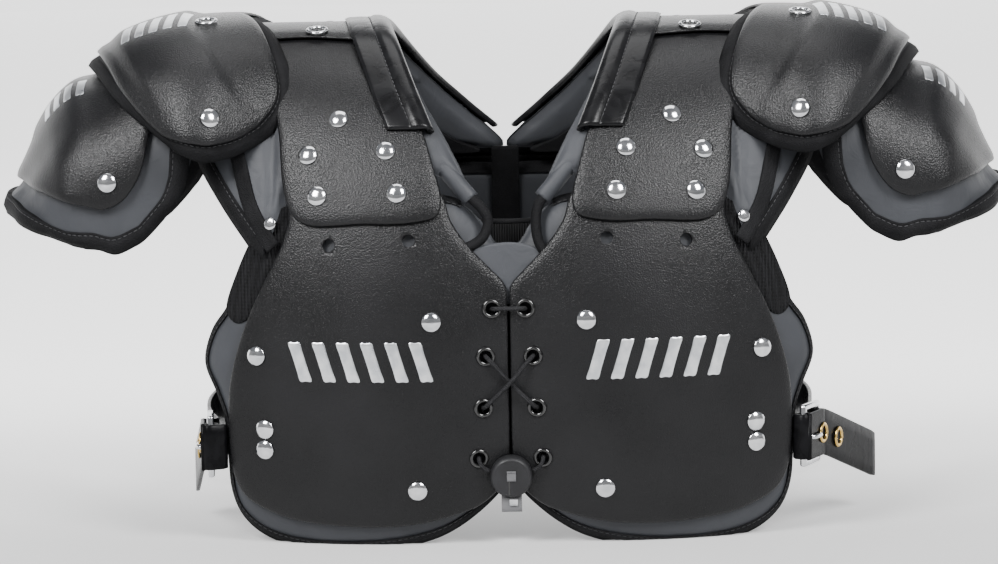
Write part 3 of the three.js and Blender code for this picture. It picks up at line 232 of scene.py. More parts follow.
def dome_section(turn, reach, rise):
    """Forward and upward place on a domed section whose sides run straight on below its spring line."""
    size = np.abs(turn)
    radius = ((np.abs(np.sin(size)) / reach) ** POWER
              + (np.maximum(0, np.cos(size)) / rise) ** POWER) ** (-1 / POWER)
    above_spring = size <= math.pi / 2
    out = np.where(above_spring, radius * np.sin(size), reach)
    up = np.where(above_spring, radius * np.cos(size), reach / np.tan(np.maximum(size, 0.1)))
    return out, up


def body_form(a, b):
    turn = b / DEPTH
    out, up = dome_section(turn, DEPTH, CREST - SPRING)
    below = np.maximum(0, -up) / SPRING
    wrap = (1 - np.minimum(0.999, np.abs(a) / WRAP_WIDTH) ** POWER) ** (1 / POWER)
    valley = VALLEY * np.exp(-(a / VALLEY_WIDTH) ** 2) * np.abs(np.sin(turn))
    depth = out * wrap * (1 - SKIRT_TUCK * below ** 2) - valley
    return np.stack([a + 0 * depth, -np.sign(turn) * depth, SPRING + up], -1)


def body_turn(height, face=1):
    """Turn of the body form at a height on its front (1) or rear (-1) face."""
    if height < SPRING:
        return face * (math.pi / 2 + math.atan((SPRING - height) / DEPTH))
    share = (height - SPRING) / (CREST - SPRING)
    depth = (1 - min(1, share) ** POWER) ** (1 / POWER)
    return face * math.atan2(DEPTH * depth, height - SPRING)


def placed(form, a, b, offset, side):
    """Points at an offset outside a form, from its own slope there; side -1 mirrors them to the left."""
    a, b, offset = np.broadcast_arrays(*(np.asarray(v, float) for v in (a, b, offset)))
    step = 2e-4
    along = form(a, b + step) - form(a, b - step)
    across = form(a + step, b) - form(a - step, b)
    normal = np.cross(along, across)
    normal /= np.linalg.norm(normal, axis=-1, keepdims=True)
    point = form(a, b) + normal * offset[..., None]
    mirror = np.array([side, 1, 1])
    return point * mirror, normal * mirror


def front(width, *rows):
    return [(across * width, body_turn(up * CREST) * DEPTH) for across, up in rows]


def rear(width, *rows):
    return [(across * width, body_turn(up * CREST, -1) * DEPTH) for across, up in rows]


def over(width, *rows):
    return [(across * width, math.radians(turn) * DEPTH) for across, turn in rows]


def behind(rows):
    """Chart rows of the front, mirrored to the back."""
    return [(a, -b) for a, b in rows]


def curve(rows, t, closed=False):
    """Points of a smooth curve through rows; t runs from 0 to 1."""
    rows = np.asarray(rows, float)
    if closed:
        knots = np.vstack([rows[-1], rows, rows[:2]])
    else:
        knots = np.vstack([2 * rows[0] - rows[1], rows, 2 * rows[-1] - rows[-2]])
    spans = len(knots) - 3
    place = np.clip(t, 0, 1) * spans
    i = np.minimum(place.astype(int), spans - 1)
    w = (place - i)[..., None]
    before, start, end, after = (knots[i + k] for k in range(4))
    v, u = (end - before) / 2, (after - start) / 2
    return (2 * start - 2 * end + v + u) * w ** 3 + (3 * end - 3 * start - 2 * v - u) * w ** 2 + v * w + start


def spaced(points, count):
    """count + 1 points at even distances along a line of points."""
    reach = np.concatenate([[0], np.cumsum(np.linalg.norm(np.diff(points, axis=0), axis=1))])
    wanted = np.linspace(0, reach[-1], count + 1)
    return np.stack([np.interp(wanted, reach, points[:, k]) for k in range(points.shape[1])], 1)


def even_line(rows, count, samples=200):
    """count + 1 points at even distances along a smooth curve through rows."""
    return spaced(curve(rows, np.linspace(0, 1, samples)), count)


def outline_sides(rows, corners, counts):
    """The four sides of an outline between its corner rows, each at even distances."""
    rows = rows[corners[0]:] + rows[:corners[0]]
    stops = [c - corners[0] for c in corners] + [len(rows)]
    sides = []
    for k, count in enumerate(counts):
        t = np.linspace(stops[k], stops[k + 1], 24 * (stops[k + 1] - stops[k]) + 1) / len(rows)
        sides.append(spaced(curve(rows, t, closed=True), count))
    return sides


def patch(rows, corners, across, along):
    """Chart points that fill an outline, blended between its four sides, and its closed rim."""
    near, right, far, left = outline_sides(rows, corners, [across, along, across, along])
    far, left = far[::-1], left[::-1]
    u = np.linspace(0, 1, across + 1)[None, :, None]
    v = np.linspace(0, 1, along + 1)[:, None, None]
    grid = (near[None] * (1 - v) + far[None] * v + left[:, None] * (1 - u) + right[:, None] * u
            - near[0] * (1 - u) * (1 - v) - near[-1] * u * (1 - v) - far[0] * (1 - u) * v - far[-1] * u * v)
    rim = [(0, i) for i in range(across)] + [(j, across) for j in range(along)]
    rim += [(along, i) for i in range(across, 0, -1)] + [(j, 0) for j in range(along, 0, -1)]
    return grid, rim


def outward(points):
    """Unit directions square to a closed line of chart points, pointing out of it."""
    along = np.roll(points, -1, 0) - np.roll(points, 1, 0)
    along /= np.maximum(1e-9, np.linalg.norm(along, axis=1, keepdims=True))
    after = np.roll(points, -1, 0)
    way = np.sign(np.sum(points[:, 0] * after[:, 1] - after[:, 0] * points[:, 1]))
    return way * np.stack([along[:, 1], -along[:, 0]], 1)


def moved_out(rows, margin):
    """An outline moved outwards by a margin, square to itself."""
    rows = np.asarray(rows, float)
    return [tuple(row) for row in rows + margin * outward(rows)]


def rim_distance(grid, rim_points):
    flat = grid.reshape(-1, 2)
    gaps = np.concatenate([
        np.min(np.linalg.norm(part[:, None] - rim_points[None], axis=2), axis=1)
        for part in np.array_split(flat, max(1, len(flat) // 400))])
    return gaps.reshape(grid.shape[:-1])


def solid(name, points, faces, look):
    """A closed mesh with its faces turned outwards, riding on the body."""
    points = np.asarray(points, float)
    volume = sum(np.dot(points[f[0]], np.cross(points[f[k]], points[f[k + 1]]))
                 for f in faces for k in range(1, len(f) - 1))
    if volume < 0:
        faces = [tuple(reversed(f)) for f in faces]
    mesh = bpy.data.meshes.new(name)
    mesh.from_pydata(points.tolist(), [], faces)
    mesh.materials.append(look)
    mesh.shade_smooth()
    return riding(linked(name, mesh))


def lofted(name, rings, look, closed=False):
    """A closed mesh through equal rings of points; an open run of rings is capped at both ends."""
    points = np.stack(rings)
    stations, width = points.shape[:2]
    faces = ring_faces(stations, width, closed)
    if not closed:
        faces.append(tuple(reversed(range(width))))
        faces.append(tuple(range((stations - 1) * width, stations * width)))
    return solid(name, points.reshape(-1, 3), faces, look)


def swept(name, form, side, line, way, section, look, closed=False):
    """A bar along chart points; its section's rows are shifts along way and offsets from the form."""
    rings = []
    for shift, offset in section:
        at = line + way * shift
        rings.append(placed(form, at[:, 0], at[:, 1], offset, side)[0])
    return lofted(name, list(np.stack(rings, 1)), look, closed)


def shell(name, form, side, rows, corners, counts, top, bottom, roll, look):
    """A closed wall over an outline with a rounded rim; top and bottom give its offsets at chart points."""
    grid, rim = patch(rows, corners, *counts)
    rim_points = np.array([grid[j, i] for j, i in rim])
    away = rim_distance(grid, rim_points)
    a, b = grid[..., 0], grid[..., 1]
    high, low = top(a, b, away), bottom(a, b, away)
    width = counts[0] + 1
    count = a.size
    points = [placed(form, a, b, offset, side)[0].reshape(-1, 3) for offset in (high, low)]
    faces = []
    for j in range(counts[1]):
        for i in range(counts[0]):
            k = j * width + i
            faces.append((k, k + 1, k + width + 1, k + width))
            faces.append((k + count, k + count + width, k + count + width + 1, k + count + 1))
    out = outward(rim_points)
    ring_high = np.array([high[j, i] for j, i in rim])
    ring_low = np.array([low[j, i] for j, i in rim])
    index = [j * width + i for j, i in rim]
    rings = [index]
    for angle in (45, 90, 135):
        swing = math.radians(angle)
        shifted = rim_points + out * roll * math.sin(swing)
        offset = (ring_high + ring_low) / 2 + (ring_high - ring_low) / 2 * math.cos(swing)
        rings.append([sum(len(p) for p in points) + k for k in range(len(rim))])
        points.append(placed(form, shifted[:, 0], shifted[:, 1], offset, side)[0])
    rings.append([k + count for k in index])
    for first, second in zip(rings, rings[1:]):
        for k in range(len(rim)):
            n = (k + 1) % len(rim)
            faces.append((first[k], second[k], second[n], first[n]))
    return solid(name, np.vstack(points), faces, look)


def grained_plastic(place):
    cells = place.node("TexVoronoi", {"Vector": place, "Scale": 1250.0, "Randomness": 1.0})
    fine = place.noise(2200.0, 3.0)
    broad = place.noise(18.0, 2.0)
    return {
        "Base Color": broad.ramp((0.35, (0.0045, 0.0045, 0.0050)), (0.7, (0.0080, 0.0080, 0.0088))),
        "Roughness": fine * 0.14 + broad * 0.06 + 0.19,
        "Normal": (cells * 0.6 + fine * 0.4).bump(0.00027, 1.0),
    }


plate_plastic = finish("plate_plastic", grained_plastic, Specular_IOR_Level=0.26)

CHEST_OUTLINE = front(CHEST_WIDTH, (0.041, 0.118), (0.115, 0.082), (0.209, 0.063), (0.324, 0.047),
    (0.459, 0.040), (0.615, 0.042), (0.770, 0.053), (0.878, 0.074), (0.943, 0.097), (0.980, 0.130),
    (0.995, 0.176), (1.000, 0.237), (0.993, 0.321), (0.959, 0.401), (0.912, 0.471), (0.861, 0.531),
    (0.811, 0.588), (0.770, 0.649), (0.736, 0.721), (0.514, 0.721), (0.264, 0.721), (0.199, 0.653),
    (0.159, 0.618), (0.111, 0.586), (0.054, 0.553), (0.015, 0.529), (0.004, 0.500), (0.004, 0.351),
    (0.004, 0.210), (0.014, 0.153))
CHEST_CORNERS = [0, 8, 18, 20]
PLATE_EDGE = 0.0011
SIDES = {"right": 1, "left": -1}


def level(height):
    """An offset that is the same all over a piece."""
    return lambda a, b, away: height + 0 * a


def thinned(height):
    """A plate's outer face, which thins a little towards its cut edge."""
    return lambda a, b, away: height + PLATE_WALL - 0.0006 * np.exp(-(away / 0.0016) ** 2)


CHEST_HOLES = front(CHEST_WIDTH, (0.061, 0.479), (0.086, 0.385), (0.097, 0.282), (0.115, 0.181),
                    (0.625, 0.607), (0.347, 0.615))
EYELET_BORE = 0.0036
VENT_BORE = 0.0033
DRILL_DEPTH = 0.016
ROUND_SIDES = 28


def pierce(piece, form, side, holes, radii):
    """Cuts round holes through a plate with a boolean."""
    for (a, b), radius in zip(holes, radii):
        point, normal = placed(form, a, b, PLATE_WALL / 2, side)
        cutter_mesh = bpy.data.meshes.new("cutter")
        drill = bmesh.new()
        bmesh.ops.create_cone(drill, cap_ends=True, segments=ROUND_SIDES, radius1=radius, radius2=radius,
                              depth=DRILL_DEPTH)
        turn = Vector(normal).to_track_quat("Z", "Y").to_matrix().to_4x4()
        drill.transform(Matrix.Translation(Vector(point)) @ turn)
        drill.to_mesh(cutter_mesh)
        drill.free()
        cutter = linked("cutter", cutter_mesh)
        cut = piece.modifiers.new("hole", "BOOLEAN")
        cut.operation = "DIFFERENCE"
        cut.object = cutter
        cut.solver = "EXACT"
        baked(piece)
        bpy.data.objects.remove(cutter)


def plate(name, node, word, form, rows, corners, counts, top, bottom, holes=(), radii=()):
    """A moulded plate with a rolled edge, in place of its node."""
    made = shell(f"{name}_{word}", form, SIDES[word], moved_out(rows, -PLATE_EDGE), corners, counts, top,
                 bottom, PLATE_EDGE, plate_plastic)
    pierce(made, form, SIDES[word], holes, radii)
    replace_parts(made, f"{node}_{word}")


for word in SIDES:
    plate("chest_shell", "chest_plate", word, body_form, CHEST_OUTLINE, CHEST_CORNERS, (56, 60), thinned(0),
          level(0), CHEST_HOLES, [EYELET_BORE] * 4 + [VENT_BORE] * 2)

# Back plates: the counterparts behind, of the same plastic, joined by a strip of webbing over their seam.
BACK_OUTLINE = behind(CHEST_OUTLINE[:20]) + rear(CHEST_WIDTH, (0.200, 0.721), (0.060, 0.720),
    (0.014, 0.709), (0.004, 0.670), (0.004, 0.500), (0.004, 0.351), (0.004, 0.210), (0.014, 0.153))
BACK_CORNERS = [0, 8, 18, 22]
for word in SIDES:
    plate("back_shell", "back_plate", word, body_form, BACK_OUTLINE, BACK_CORNERS, (56, 60), thinned(0),
          level(0))

# Arch plates: flat-grained plates riveted over the top of the chest plates, and rear ones that lap over
# them on the shoulder and run down the back.
ARCH_WIDTH = 0.118
LAP_START = 8
LAP_END = 30
FRONT_ARCH_OUTLINE = [
    *front(ARCH_WIDTH, (0.305, 0.663), (0.390, 0.650), (0.508, 0.646), (0.636, 0.647), (0.839, 0.643),
           (0.928, 0.659), (0.966, 0.691), (0.986, 0.740), (1.000, 0.817), (1.034, 0.878), (1.127, 0.943)),
    *over(ARCH_WIDTH, (1.212, 4), (1.229, -6), (0.898, -6), (0.585, -6), (0.559, 6)),
    *front(ARCH_WIDTH, (0.525, 0.969), (0.441, 0.893), (0.368, 0.821), (0.322, 0.752), (0.293, 0.702))]
REAR_ARCH_OUTLINE = [
    *over(ARCH_WIDTH, (0.568, 12.5), (0.898, 12.5), (1.220, 12.5), (1.237, 0), (1.203, -12)),
    *rear(ARCH_WIDTH, (1.102, 0.927), (1.025, 0.863), (0.996, 0.782), (0.975, 0.706), (0.924, 0.659),
          (0.831, 0.643), (0.508, 0.644), (0.169, 0.645), (0.059, 0.660), (0.025, 0.695), (0.025, 0.748),
          (0.085, 0.782), (0.229, 0.836), (0.390, 0.905), (0.517, 0.969)),
    *over(ARCH_WIDTH, (0.576, -4))]


def smoothstep(value, low, high):
    share = np.clip((value - low) / (high - low), 0, 1)
    return share * share * (3 - 2 * share)


def lap_lift(a, b, away=None):
    """Height of the rear arch: over the front arch on the shoulder, down on the back plate behind."""
    return (2 - smoothstep(np.degrees(-b / DEPTH), LAP_START, LAP_END)) * LAYER + 0 * a


def on_lap(a, b, away):
    return thinned(0)(a, b, away) + lap_lift(a, b)


for word in SIDES:
    plate("front_arch_shell", "front_arch", word, body_form, FRONT_ARCH_OUTLINE, [0, 5, 12, 14], (40, 48),
          thinned(LAYER), level(LAYER))
    plate("rear_arch_shell", "rear_arch", word, body_form, REAR_ARCH_OUTLINE, [0, 2, 9, 13], (40, 64), on_lap,
          lap_lift)

# Shoulder flaps: an upper epaulette with a moulded ridge down its front, and a lower cup past it, both
# curved caps of the same plastic that hang on webbing over the arches.
TURN_RADIUS = 0.1
EPAULETTE_START = 0.012
EPAULETTE_LENGTH = 0.110
EPAULETTE_WRAP = 0.135
CUP_START = 0.008
CUP_LENGTH = 0.114
CUP_WRAP = 0.162
BULGE_HEIGHT = 0.0026
BULGE_EDGE = 0.05
EPAULETTE_RISE = 0.0172


def flap_form(rows, rise, relief, ease, wrap):
    """A cap's form from rows of ridge out and up, reach forwards, fall, as shares of the crest, and lean."""
    rows = np.array(rows)
    ridge = rows[:, :2] * CREST + np.array([0, rise])
    sizes = np.column_stack([rows[:, 2:4] * CREST, np.radians(rows[:, 4])])
    steps = np.linspace(0, 1, 401)
    line = curve(ridge, steps)
    reach = np.concatenate([[0], np.cumsum(np.linalg.norm(np.diff(line, axis=0), axis=1))])

    def form(a, b):
        held = np.clip(a, 0, reach[-1])
        t = np.interp(held, reach, steps)
        tangent = curve(ridge, np.minimum(1, t + 1e-4)) - curve(ridge, np.maximum(0, t - 1e-4))
        tangent /= np.linalg.norm(tangent, axis=-1, keepdims=True)
        point = curve(ridge, t) + tangent * (a - held)[..., None]
        size = curve(sizes, t)
        out, up = dome_section(b / TURN_RADIUS, size[..., 0], size[..., 1])
        inward = size[..., 1] - up - relief(a, b)
        lean = size[..., 2] * (1 - ease * smoothstep(np.abs(b) / wrap, 0.40, 1.10))
        return np.stack([point[..., 0] - np.sin(lean) * inward, -np.sign(b) * out,
                         point[..., 1] - np.cos(lean) * inward], -1)

    return form


def epaulette_bulge(a, b):
    """The broad raised bulge on the outer half, between two lines that bend back towards the neck."""
    along = (a - EPAULETTE_START) / EPAULETTE_LENGTH
    bend = (np.abs(b) / EPAULETTE_WRAP) ** 3
    inner, outer = 0.48 - 0.52 * bend, 0.88 - 0.25 * bend
    rise = smoothstep(along, inner - BULGE_EDGE, inner + BULGE_EDGE)
    fall = 1 - smoothstep(along, outer - BULGE_EDGE, outer + BULGE_EDGE)
    return BULGE_HEIGHT * rise * fall * (1 - smoothstep(bend, 0.3, 0.9))


def cup_dent(a, b):
    """A soft dent along each side of the cup's ridge, and the small step near its end."""
    along = (a - CUP_START) / CUP_LENGTH
    around = np.abs(b) / CUP_WRAP
    ridge = 0.0016 * np.exp(-(around / 0.34) ** 4) * smoothstep(along, 0.25, 0.45)
    ridge = ridge * (1 - smoothstep(along, 0.72, 0.80))
    return ridge - 0.0022 * np.exp(-((around - 0.60) / 0.13) ** 2) * smoothstep(along, 0.15, 0.6)


epaulette_form = flap_form([
    (0.397, 0.986, 0.321, 0.351, -5), (0.466, 0.992, 0.336, 0.351, -4), (0.534, 0.994, 0.363, 0.344, 0),
    (0.603, 0.993, 0.393, 0.336, 3), (0.672, 0.987, 0.397, 0.328, 9), (0.740, 0.971, 0.382, 0.321, 17),
    (0.802, 0.946, 0.359, 0.313, 27), (0.857, 0.916, 0.336, 0.305, 36), (0.903, 0.884, 0.321, 0.298, 40)],
    EPAULETTE_RISE, epaulette_bulge, 0, EPAULETTE_WRAP)
cup_form = flap_form([
    (0.679, 0.988, 0.321, 0.240, 0), (0.744, 0.975, 0.321, 0.240, 5), (0.802, 0.954, 0.321, 0.242, 11),
    (0.851, 0.934, 0.320, 0.240, 18), (0.900, 0.917, 0.317, 0.233, 25), (0.944, 0.874, 0.312, 0.214, 33),
    (0.976, 0.821, 0.301, 0.190, 43), (1.002, 0.767, 0.285, 0.160, 54), (1.028, 0.718, 0.262, 0.140, 64),
    (1.048, 0.672, 0.240, 0.130, 70), (1.063, 0.626, 0.222, 0.125, 74)], 0, cup_dent, 0.5, CUP_WRAP)


def flap_outline(start, length, wrap, *rows):
    """A flap's outline: its front half, and the same mirrored behind."""
    half = [(start + along * length, around * wrap) for along, around in rows]
    return half + [(a, -b) for a, b in half[-2:0:-1]]


EPAULETTE_OUTLINE = flap_outline(EPAULETTE_START, EPAULETTE_LENGTH, EPAULETTE_WRAP, (0.230, 0),
    (0.190, 0.140), (0.127, 0.310), (0.034, 0.550), (0, 0.680), (0.014, 0.770), (0.085, 0.870),
    (0.180, 0.935), (0.316, 0.985), (0.420, 1), (0.600, 0.990), (0.785, 0.940), (0.885, 0.830),
    (0.930, 0.675), (0.945, 0.480), (0.975, 0.240), (1, 0))
EPAULETTE_CORNERS = [6, 11, 21, 26]
CUP_OUTLINE = flap_outline(
    CUP_START, CUP_LENGTH, CUP_WRAP, (0, 0), (0, 0.370), (0.005, 0.600), (0.016, 0.740), (0.037, 0.826),
    (0.075, 0.925), (0.127, 0.977), (0.208, 1.007), (0.313, 1.007), (0.430, 0.989), (0.615, 0.921),
    (0.823, 0.801), (0.916, 0.679), (0.962, 0.450), (0.974, 0.200), (0.976, 0))
CUP_CORNERS = [6, 11, 19, 24]
for word in SIDES:
    plate("epaulette_shell", "epaulette", word, epaulette_form, EPAULETTE_OUTLINE, EPAULETTE_CORNERS,
          (48, 88), thinned(-PLATE_WALL), level(-PLATE_WALL))
    plate("cup_shell", "shoulder_cup", word, cup_form, CUP_OUTLINE, CUP_CORNERS, (44, 88),
          thinned(-PLATE_WALL), level(-PLATE_WALL))

# Body pads: foam in coated grey nylon, quilted in channels, with black tricot binding sewn round the edge.
# They stand proud of the plates below and at the sides.
PAD_WALL = 0.012
PAD_ROUND = 0.009
LACE_RELIEF = 0.0046
LACE_RELIEF_WIDTH = 0.030
CHANNEL_DEPTH = 0.0021
CHANNEL_WIDTH = 0.0022
PAD_EDGE = 0.001
PAD_SEAM = 0.0004
CLEAR_OF_RIM = 0.004
FOLD_SCALE = (95, 60)
FOLD_SEED = 3.1


def coated_nylon(place):
    threads = place.node("TexWave", {"Vector": place, "Scale": 620.0, "Distortion": 0.6}, bands_direction="X")
    cross = place.node("TexWave", {"Vector": place, "Scale": 620.0, "Distortion": 0.6}, bands_direction="Z")
    creases = place.noise(70.0, 4.0, Distortion=1.2)
    broad = place.noise(14.0, 2.0)
    return {
        "Base Color": broad.ramp((0.3, (0.027, 0.0287, 0.033)), (0.75, (0.041, 0.0434, 0.0495))),
        "Roughness": creases * 0.2 + 0.42,
        "Normal": ((threads + cross) * 0.04 + creases).bump(0.0010, 0.55),
    }


grey_nylon = finish("grey_nylon", coated_nylon, Specular_IOR_Level=0.3)


def tricot(place):
    ribs = place.node("TexVoronoi", {"Vector": place, "Scale": 1300.0})
    return {
        "Base Color": place.noise(60.0).ramp((0.3, (0.0035, 0.0035, 0.004)), (0.8, (0.010, 0.010, 0.011))),
        "Roughness": ribs * 0.2 + 0.6,
        "Normal": (ribs + place.noise(300.0) * 0.6).bump(0.0004, 0.8),
    }


black_tricot = finish("black_tricot", tricot, Specular_IOR_Level=0.1)


def pad_profile(wall, round_off, face):
    """Outer and inner offsets of a sewn pad: thin at its seam, full a little way in."""
    def fullness(away):
        share = np.clip(away / round_off, 0, 1)
        return np.sqrt(np.maximum(0, 1 - (1 - share) ** 2))

    def top(a, b, away):
        return face(a, b) - 0.35 * wall(a, b) * (1 - fullness(away))

    def bottom(a, b, away):
        return face(a, b) - wall(a, b) * (1 - 0.65 * (1 - fullness(away)))

    return top, bottom


def crumpled(surface, lines, crumple, inner):
    """A pad face with sewn channels pressed in at the lines and small folds in the cloth."""
    way = 1 if inner else -1

    def offset(a, b, away):
        base = surface(a, b, away)
        for line in lines:
            channel = np.exp(-(line(a, b) / CHANNEL_WIDTH) ** 2)
            base = base + way * CHANNEL_DEPTH * channel * (away > CLEAR_OF_RIM)
        folds = np.array([noise.noise(Vector((u * FOLD_SCALE[0], v * FOLD_SCALE[1], FOLD_SEED + way)))
                          for u, v in zip(a.flat, b.flat)])
        return base + crumple * folds.reshape(a.shape) * np.minimum(1, away / CLEAR_OF_RIM)

    return offset


def pad(name, form, side, rows, corners, counts, profile, outer_lines, inner_lines, crumple):
    top, bottom = profile
    made = shell(name, form, side, moved_out(rows, -PAD_EDGE), corners, counts,
                 crumpled(top, outer_lines, crumple, False), crumpled(bottom, inner_lines, crumple, True),
                 PAD_EDGE, grey_nylon)
    return made


SEAMS = []
TAPE_WALL = 0.0006


def binding(name, form, side, rows, corners, count, profile, reach, proud, edges=(0, 1, 2, 3)):
    """Tape folded over a pad's rim and sewn through it; reach is how far it lies on each face."""
    sides = outline_sides(rows, corners, [count] * 4)
    line = np.vstack([part[:-1] for part in sides])
    out = outward(line)
    closed = len(edges) == 4
    if not closed:
        kept = np.concatenate([np.arange(edge * count, (edge + 1) * count) for edge in edges])
        line, out = line[kept], out[kept]
    top, bottom = profile
    seam_share = 0.8
    section = [(-reach, top, reach, 0.0), (-reach, top, reach, proud)]
    for share in (0.85, seam_share, 0.75, 0.5, 0.25, 0.0):
        groove = 0.45 if share == seam_share else 1
        section.append((-share * reach, top, share * reach, groove * proud))
    section.append((0.7 * proud + TAPE_WALL, top, 0.0, 0.2 * proud))
    section.append((0.7 * proud + TAPE_WALL, bottom, 0.0, -0.2 * proud))
    for share in (0.0, 0.25, 0.5, 0.75, 1.0):
        section.append((-share * reach, bottom, share * reach, -proud))
    section.append((-reach, bottom, reach, 0.0))
    a, b = line[:, 0], line[:, 1]
    offsets = [(shift, surface(a, b, np.full(len(line), away)) + lift)
               for shift, surface, away, lift in section]
    seam = line - out * seam_share * reach
    thread_height = top(a, b, seam_share * reach) + 0.6 * proud
    SEAMS.append((placed(form, seam[:, 0], seam[:, 1], thread_height, side)[0], closed))
    return swept(name, form, side, line, out, offsets, black_tricot, closed)


CHEST_PAD_OUTLINE = front(
    CHEST_WIDTH, (0.041, 0.099), (0.149, 0.042), (0.311, 0.004), (0.527, -0.015), (0.743, -0.011),
    (0.885, 0.011), (0.973, 0.050), (1.014, 0.103), (1.024, 0.172), (1.034, 0.252), (1.064, 0.305),
    (1.105, 0.366), (1.074, 0.431), (1.014, 0.481), (0.966, 0.550), (0.926, 0.575), (0.865, 0.556),
    (0.804, 0.578), (0.757, 0.638), (0.703, 0.694), (0.642, 0.712), (0.405, 0.712), (0.223, 0.706),
    (0.142, 0.691), (0.078, 0.653), (0.041, 0.616), (0.012, 0.603), (0.006, 0.573), (0.006, 0.420),
    (0.006, 0.229), (0.014, 0.145))
BACK_PAD_OUTLINE = behind(CHEST_PAD_OUTLINE[:22]) + rear(CHEST_WIDTH, (0.200, 0.712), (0.060, 0.711),
    (0.016, 0.700), (0.006, 0.660), (0.006, 0.573), (0.006, 0.420), (0.006, 0.229), (0.014, 0.145))


def lace_relief(a):
    """Room left behind the plates for the lace, near the breastbone."""
    return LACE_RELIEF * np.exp(-(a / LACE_RELIEF_WIDTH) ** 4)


def chest_face(a, b):
    return -LAYER_GAP - lace_relief(a) - PAD_SEAM


def flat(value):
    """A face or a wall that is the same all over a pad."""
    return lambda a, b: value + 0 * a


body_wall = flat(PAD_WALL)
back_face = flat(-LAYER_GAP - PAD_SEAM)
shoulder_face = flat(PLATE_WALL - PAD_SEAM)


def upright(share):
    return lambda a, b: a - share * CHEST_WIDTH


def at_height(up, face):
    return lambda a, b: b - body_turn(up * CREST, face) * DEPTH


LOWEST_CLOTH = 0.0002


def standing(piece):
    """Keeps a pad's lowest cloth on the floor."""
    for vertex in piece.data.vertices:
        vertex.co.z = max(vertex.co.z, LOWEST_CLOTH)


for word, side in SIDES.items():
    for kind, rows, corners, face, way in (
            ("chest", CHEST_PAD_OUTLINE, [0, 6, 15, 23], chest_face, 1),
            ("back", BACK_PAD_OUTLINE, [0, 6, 15, 24], back_face, -1)):
        profile = pad_profile(body_wall, PAD_ROUND, face)
        channels = [upright(0.30), upright(0.62), at_height(0.24, way), at_height(0.46, way)]
        body_pad = pad(f"{kind}_cushion_{word}", body_form, side, rows, corners, (72, 84), profile,
                       [], channels, 0.0007)
        standing(body_pad)
        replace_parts(body_pad, f"{kind}_pad_{word}")
        standing(binding(f"{kind}_pad_binding_{word}", body_form, side, rows, corners, 60, profile, 0.0030,
                         TAPE_WALL, (0, 1, 2)))

# Shoulder pads: long pads under the arches, whose wings line the armhole.
WING = front(ARCH_WIDTH, (0.839, 0.742), (0.950, 0.724), (0.996, 0.664), (1.042, 0.603), (1.068, 0.576),
             (1.119, 0.590), (1.195, 0.634), (1.288, 0.695), (1.381, 0.767), (1.424, 0.840), (1.390, 0.916))
SHOULDER_OUTLINE = [
    *front(ARCH_WIDTH, (0.144, 0.698), (0.203, 0.733), (0.339, 0.742), (0.593, 0.742)), *WING,
    *over(ARCH_WIDTH, (1.310, 14), (1.280, 0), (1.310, -14)), *behind(WING[::-1]),
    *rear(ARCH_WIDTH, (0.508, 0.742), (0.169, 0.742), (0.026, 0.745), (0.012, 0.762), (0.076, 0.792),
          (0.169, 0.828), (0.322, 0.893), (0.458, 0.962)),
    *over(ARCH_WIDTH, (0.525, -4), (0.508, 6)),
    *front(ARCH_WIDTH, (0.441, 0.954), (0.356, 0.885), (0.263, 0.813), (0.195, 0.752))]
SHOULDER_CORNERS = [0, 8, 24, 31]


def across_arch(share):
    return lambda a, b: a - share * ARCH_WIDTH


def round_turn(degrees):
    return lambda a, b: b - math.radians(degrees) * DEPTH


for word, side in SIDES.items():
    profile = pad_profile(body_wall, PAD_ROUND, shoulder_face)
    arch_pad = pad("shoulder_cushion_" + word, body_form, side, SHOULDER_OUTLINE, SHOULDER_CORNERS, (60, 130),
                   profile, [across_arch(1.04)], [round_turn(25), round_turn(-25), round_turn(0)], 0.0009)
    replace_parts(arch_pad, "shoulder_pad_" + word)
    binding("shoulder_pad_binding_" + word, body_form, side, SHOULDER_OUTLINE, SHOULDER_CORNERS, 90, profile,
            0.0085, 0.0007, (1,))

# Flap liners: a thin pad under each flap, bound in black; the cup's shows a grey band around the plate.
FLAP_PAD_WALL = 0.0075
LAPPED_PAD_WALL = 0.0038
EPAULETTE_PAD_MARGIN = 0.0075


def epaulette_wall(a, b):
    outer = smoothstep(a, 0.5 * EPAULETTE_LENGTH, 0.85 * EPAULETTE_LENGTH)
    return FLAP_PAD_WALL - (FLAP_PAD_WALL - LAPPED_PAD_WALL) * outer - 0.001


cup_wall = flat(FLAP_PAD_WALL - 0.0005)
epaulette_liner_face = flat(-PLATE_WALL - 0.0013)


def cup_liner_face(a, b):
    return -PLATE_WALL - 0.0025 + 0.0045 * smoothstep((a - CUP_START) / CUP_LENGTH, 0.98, 1.13)


CUP_PAD_OUTLINE = flap_outline(
    CUP_START, CUP_LENGTH, CUP_WRAP, (-0.170, 0), (-0.170, 0.370), (-0.168, 0.600), (-0.165, 0.780),
    (-0.160, 0.924), (-0.149, 1.002), (-0.089, 1.094), (0.068, 1.178), (0.187, 1.186), (0.376, 1.166),
    (0.691, 1.084), (0.961, 0.971), (1.092, 0.803), (1.139, 0.574), (1.148, 0.297), (1.150, 0))


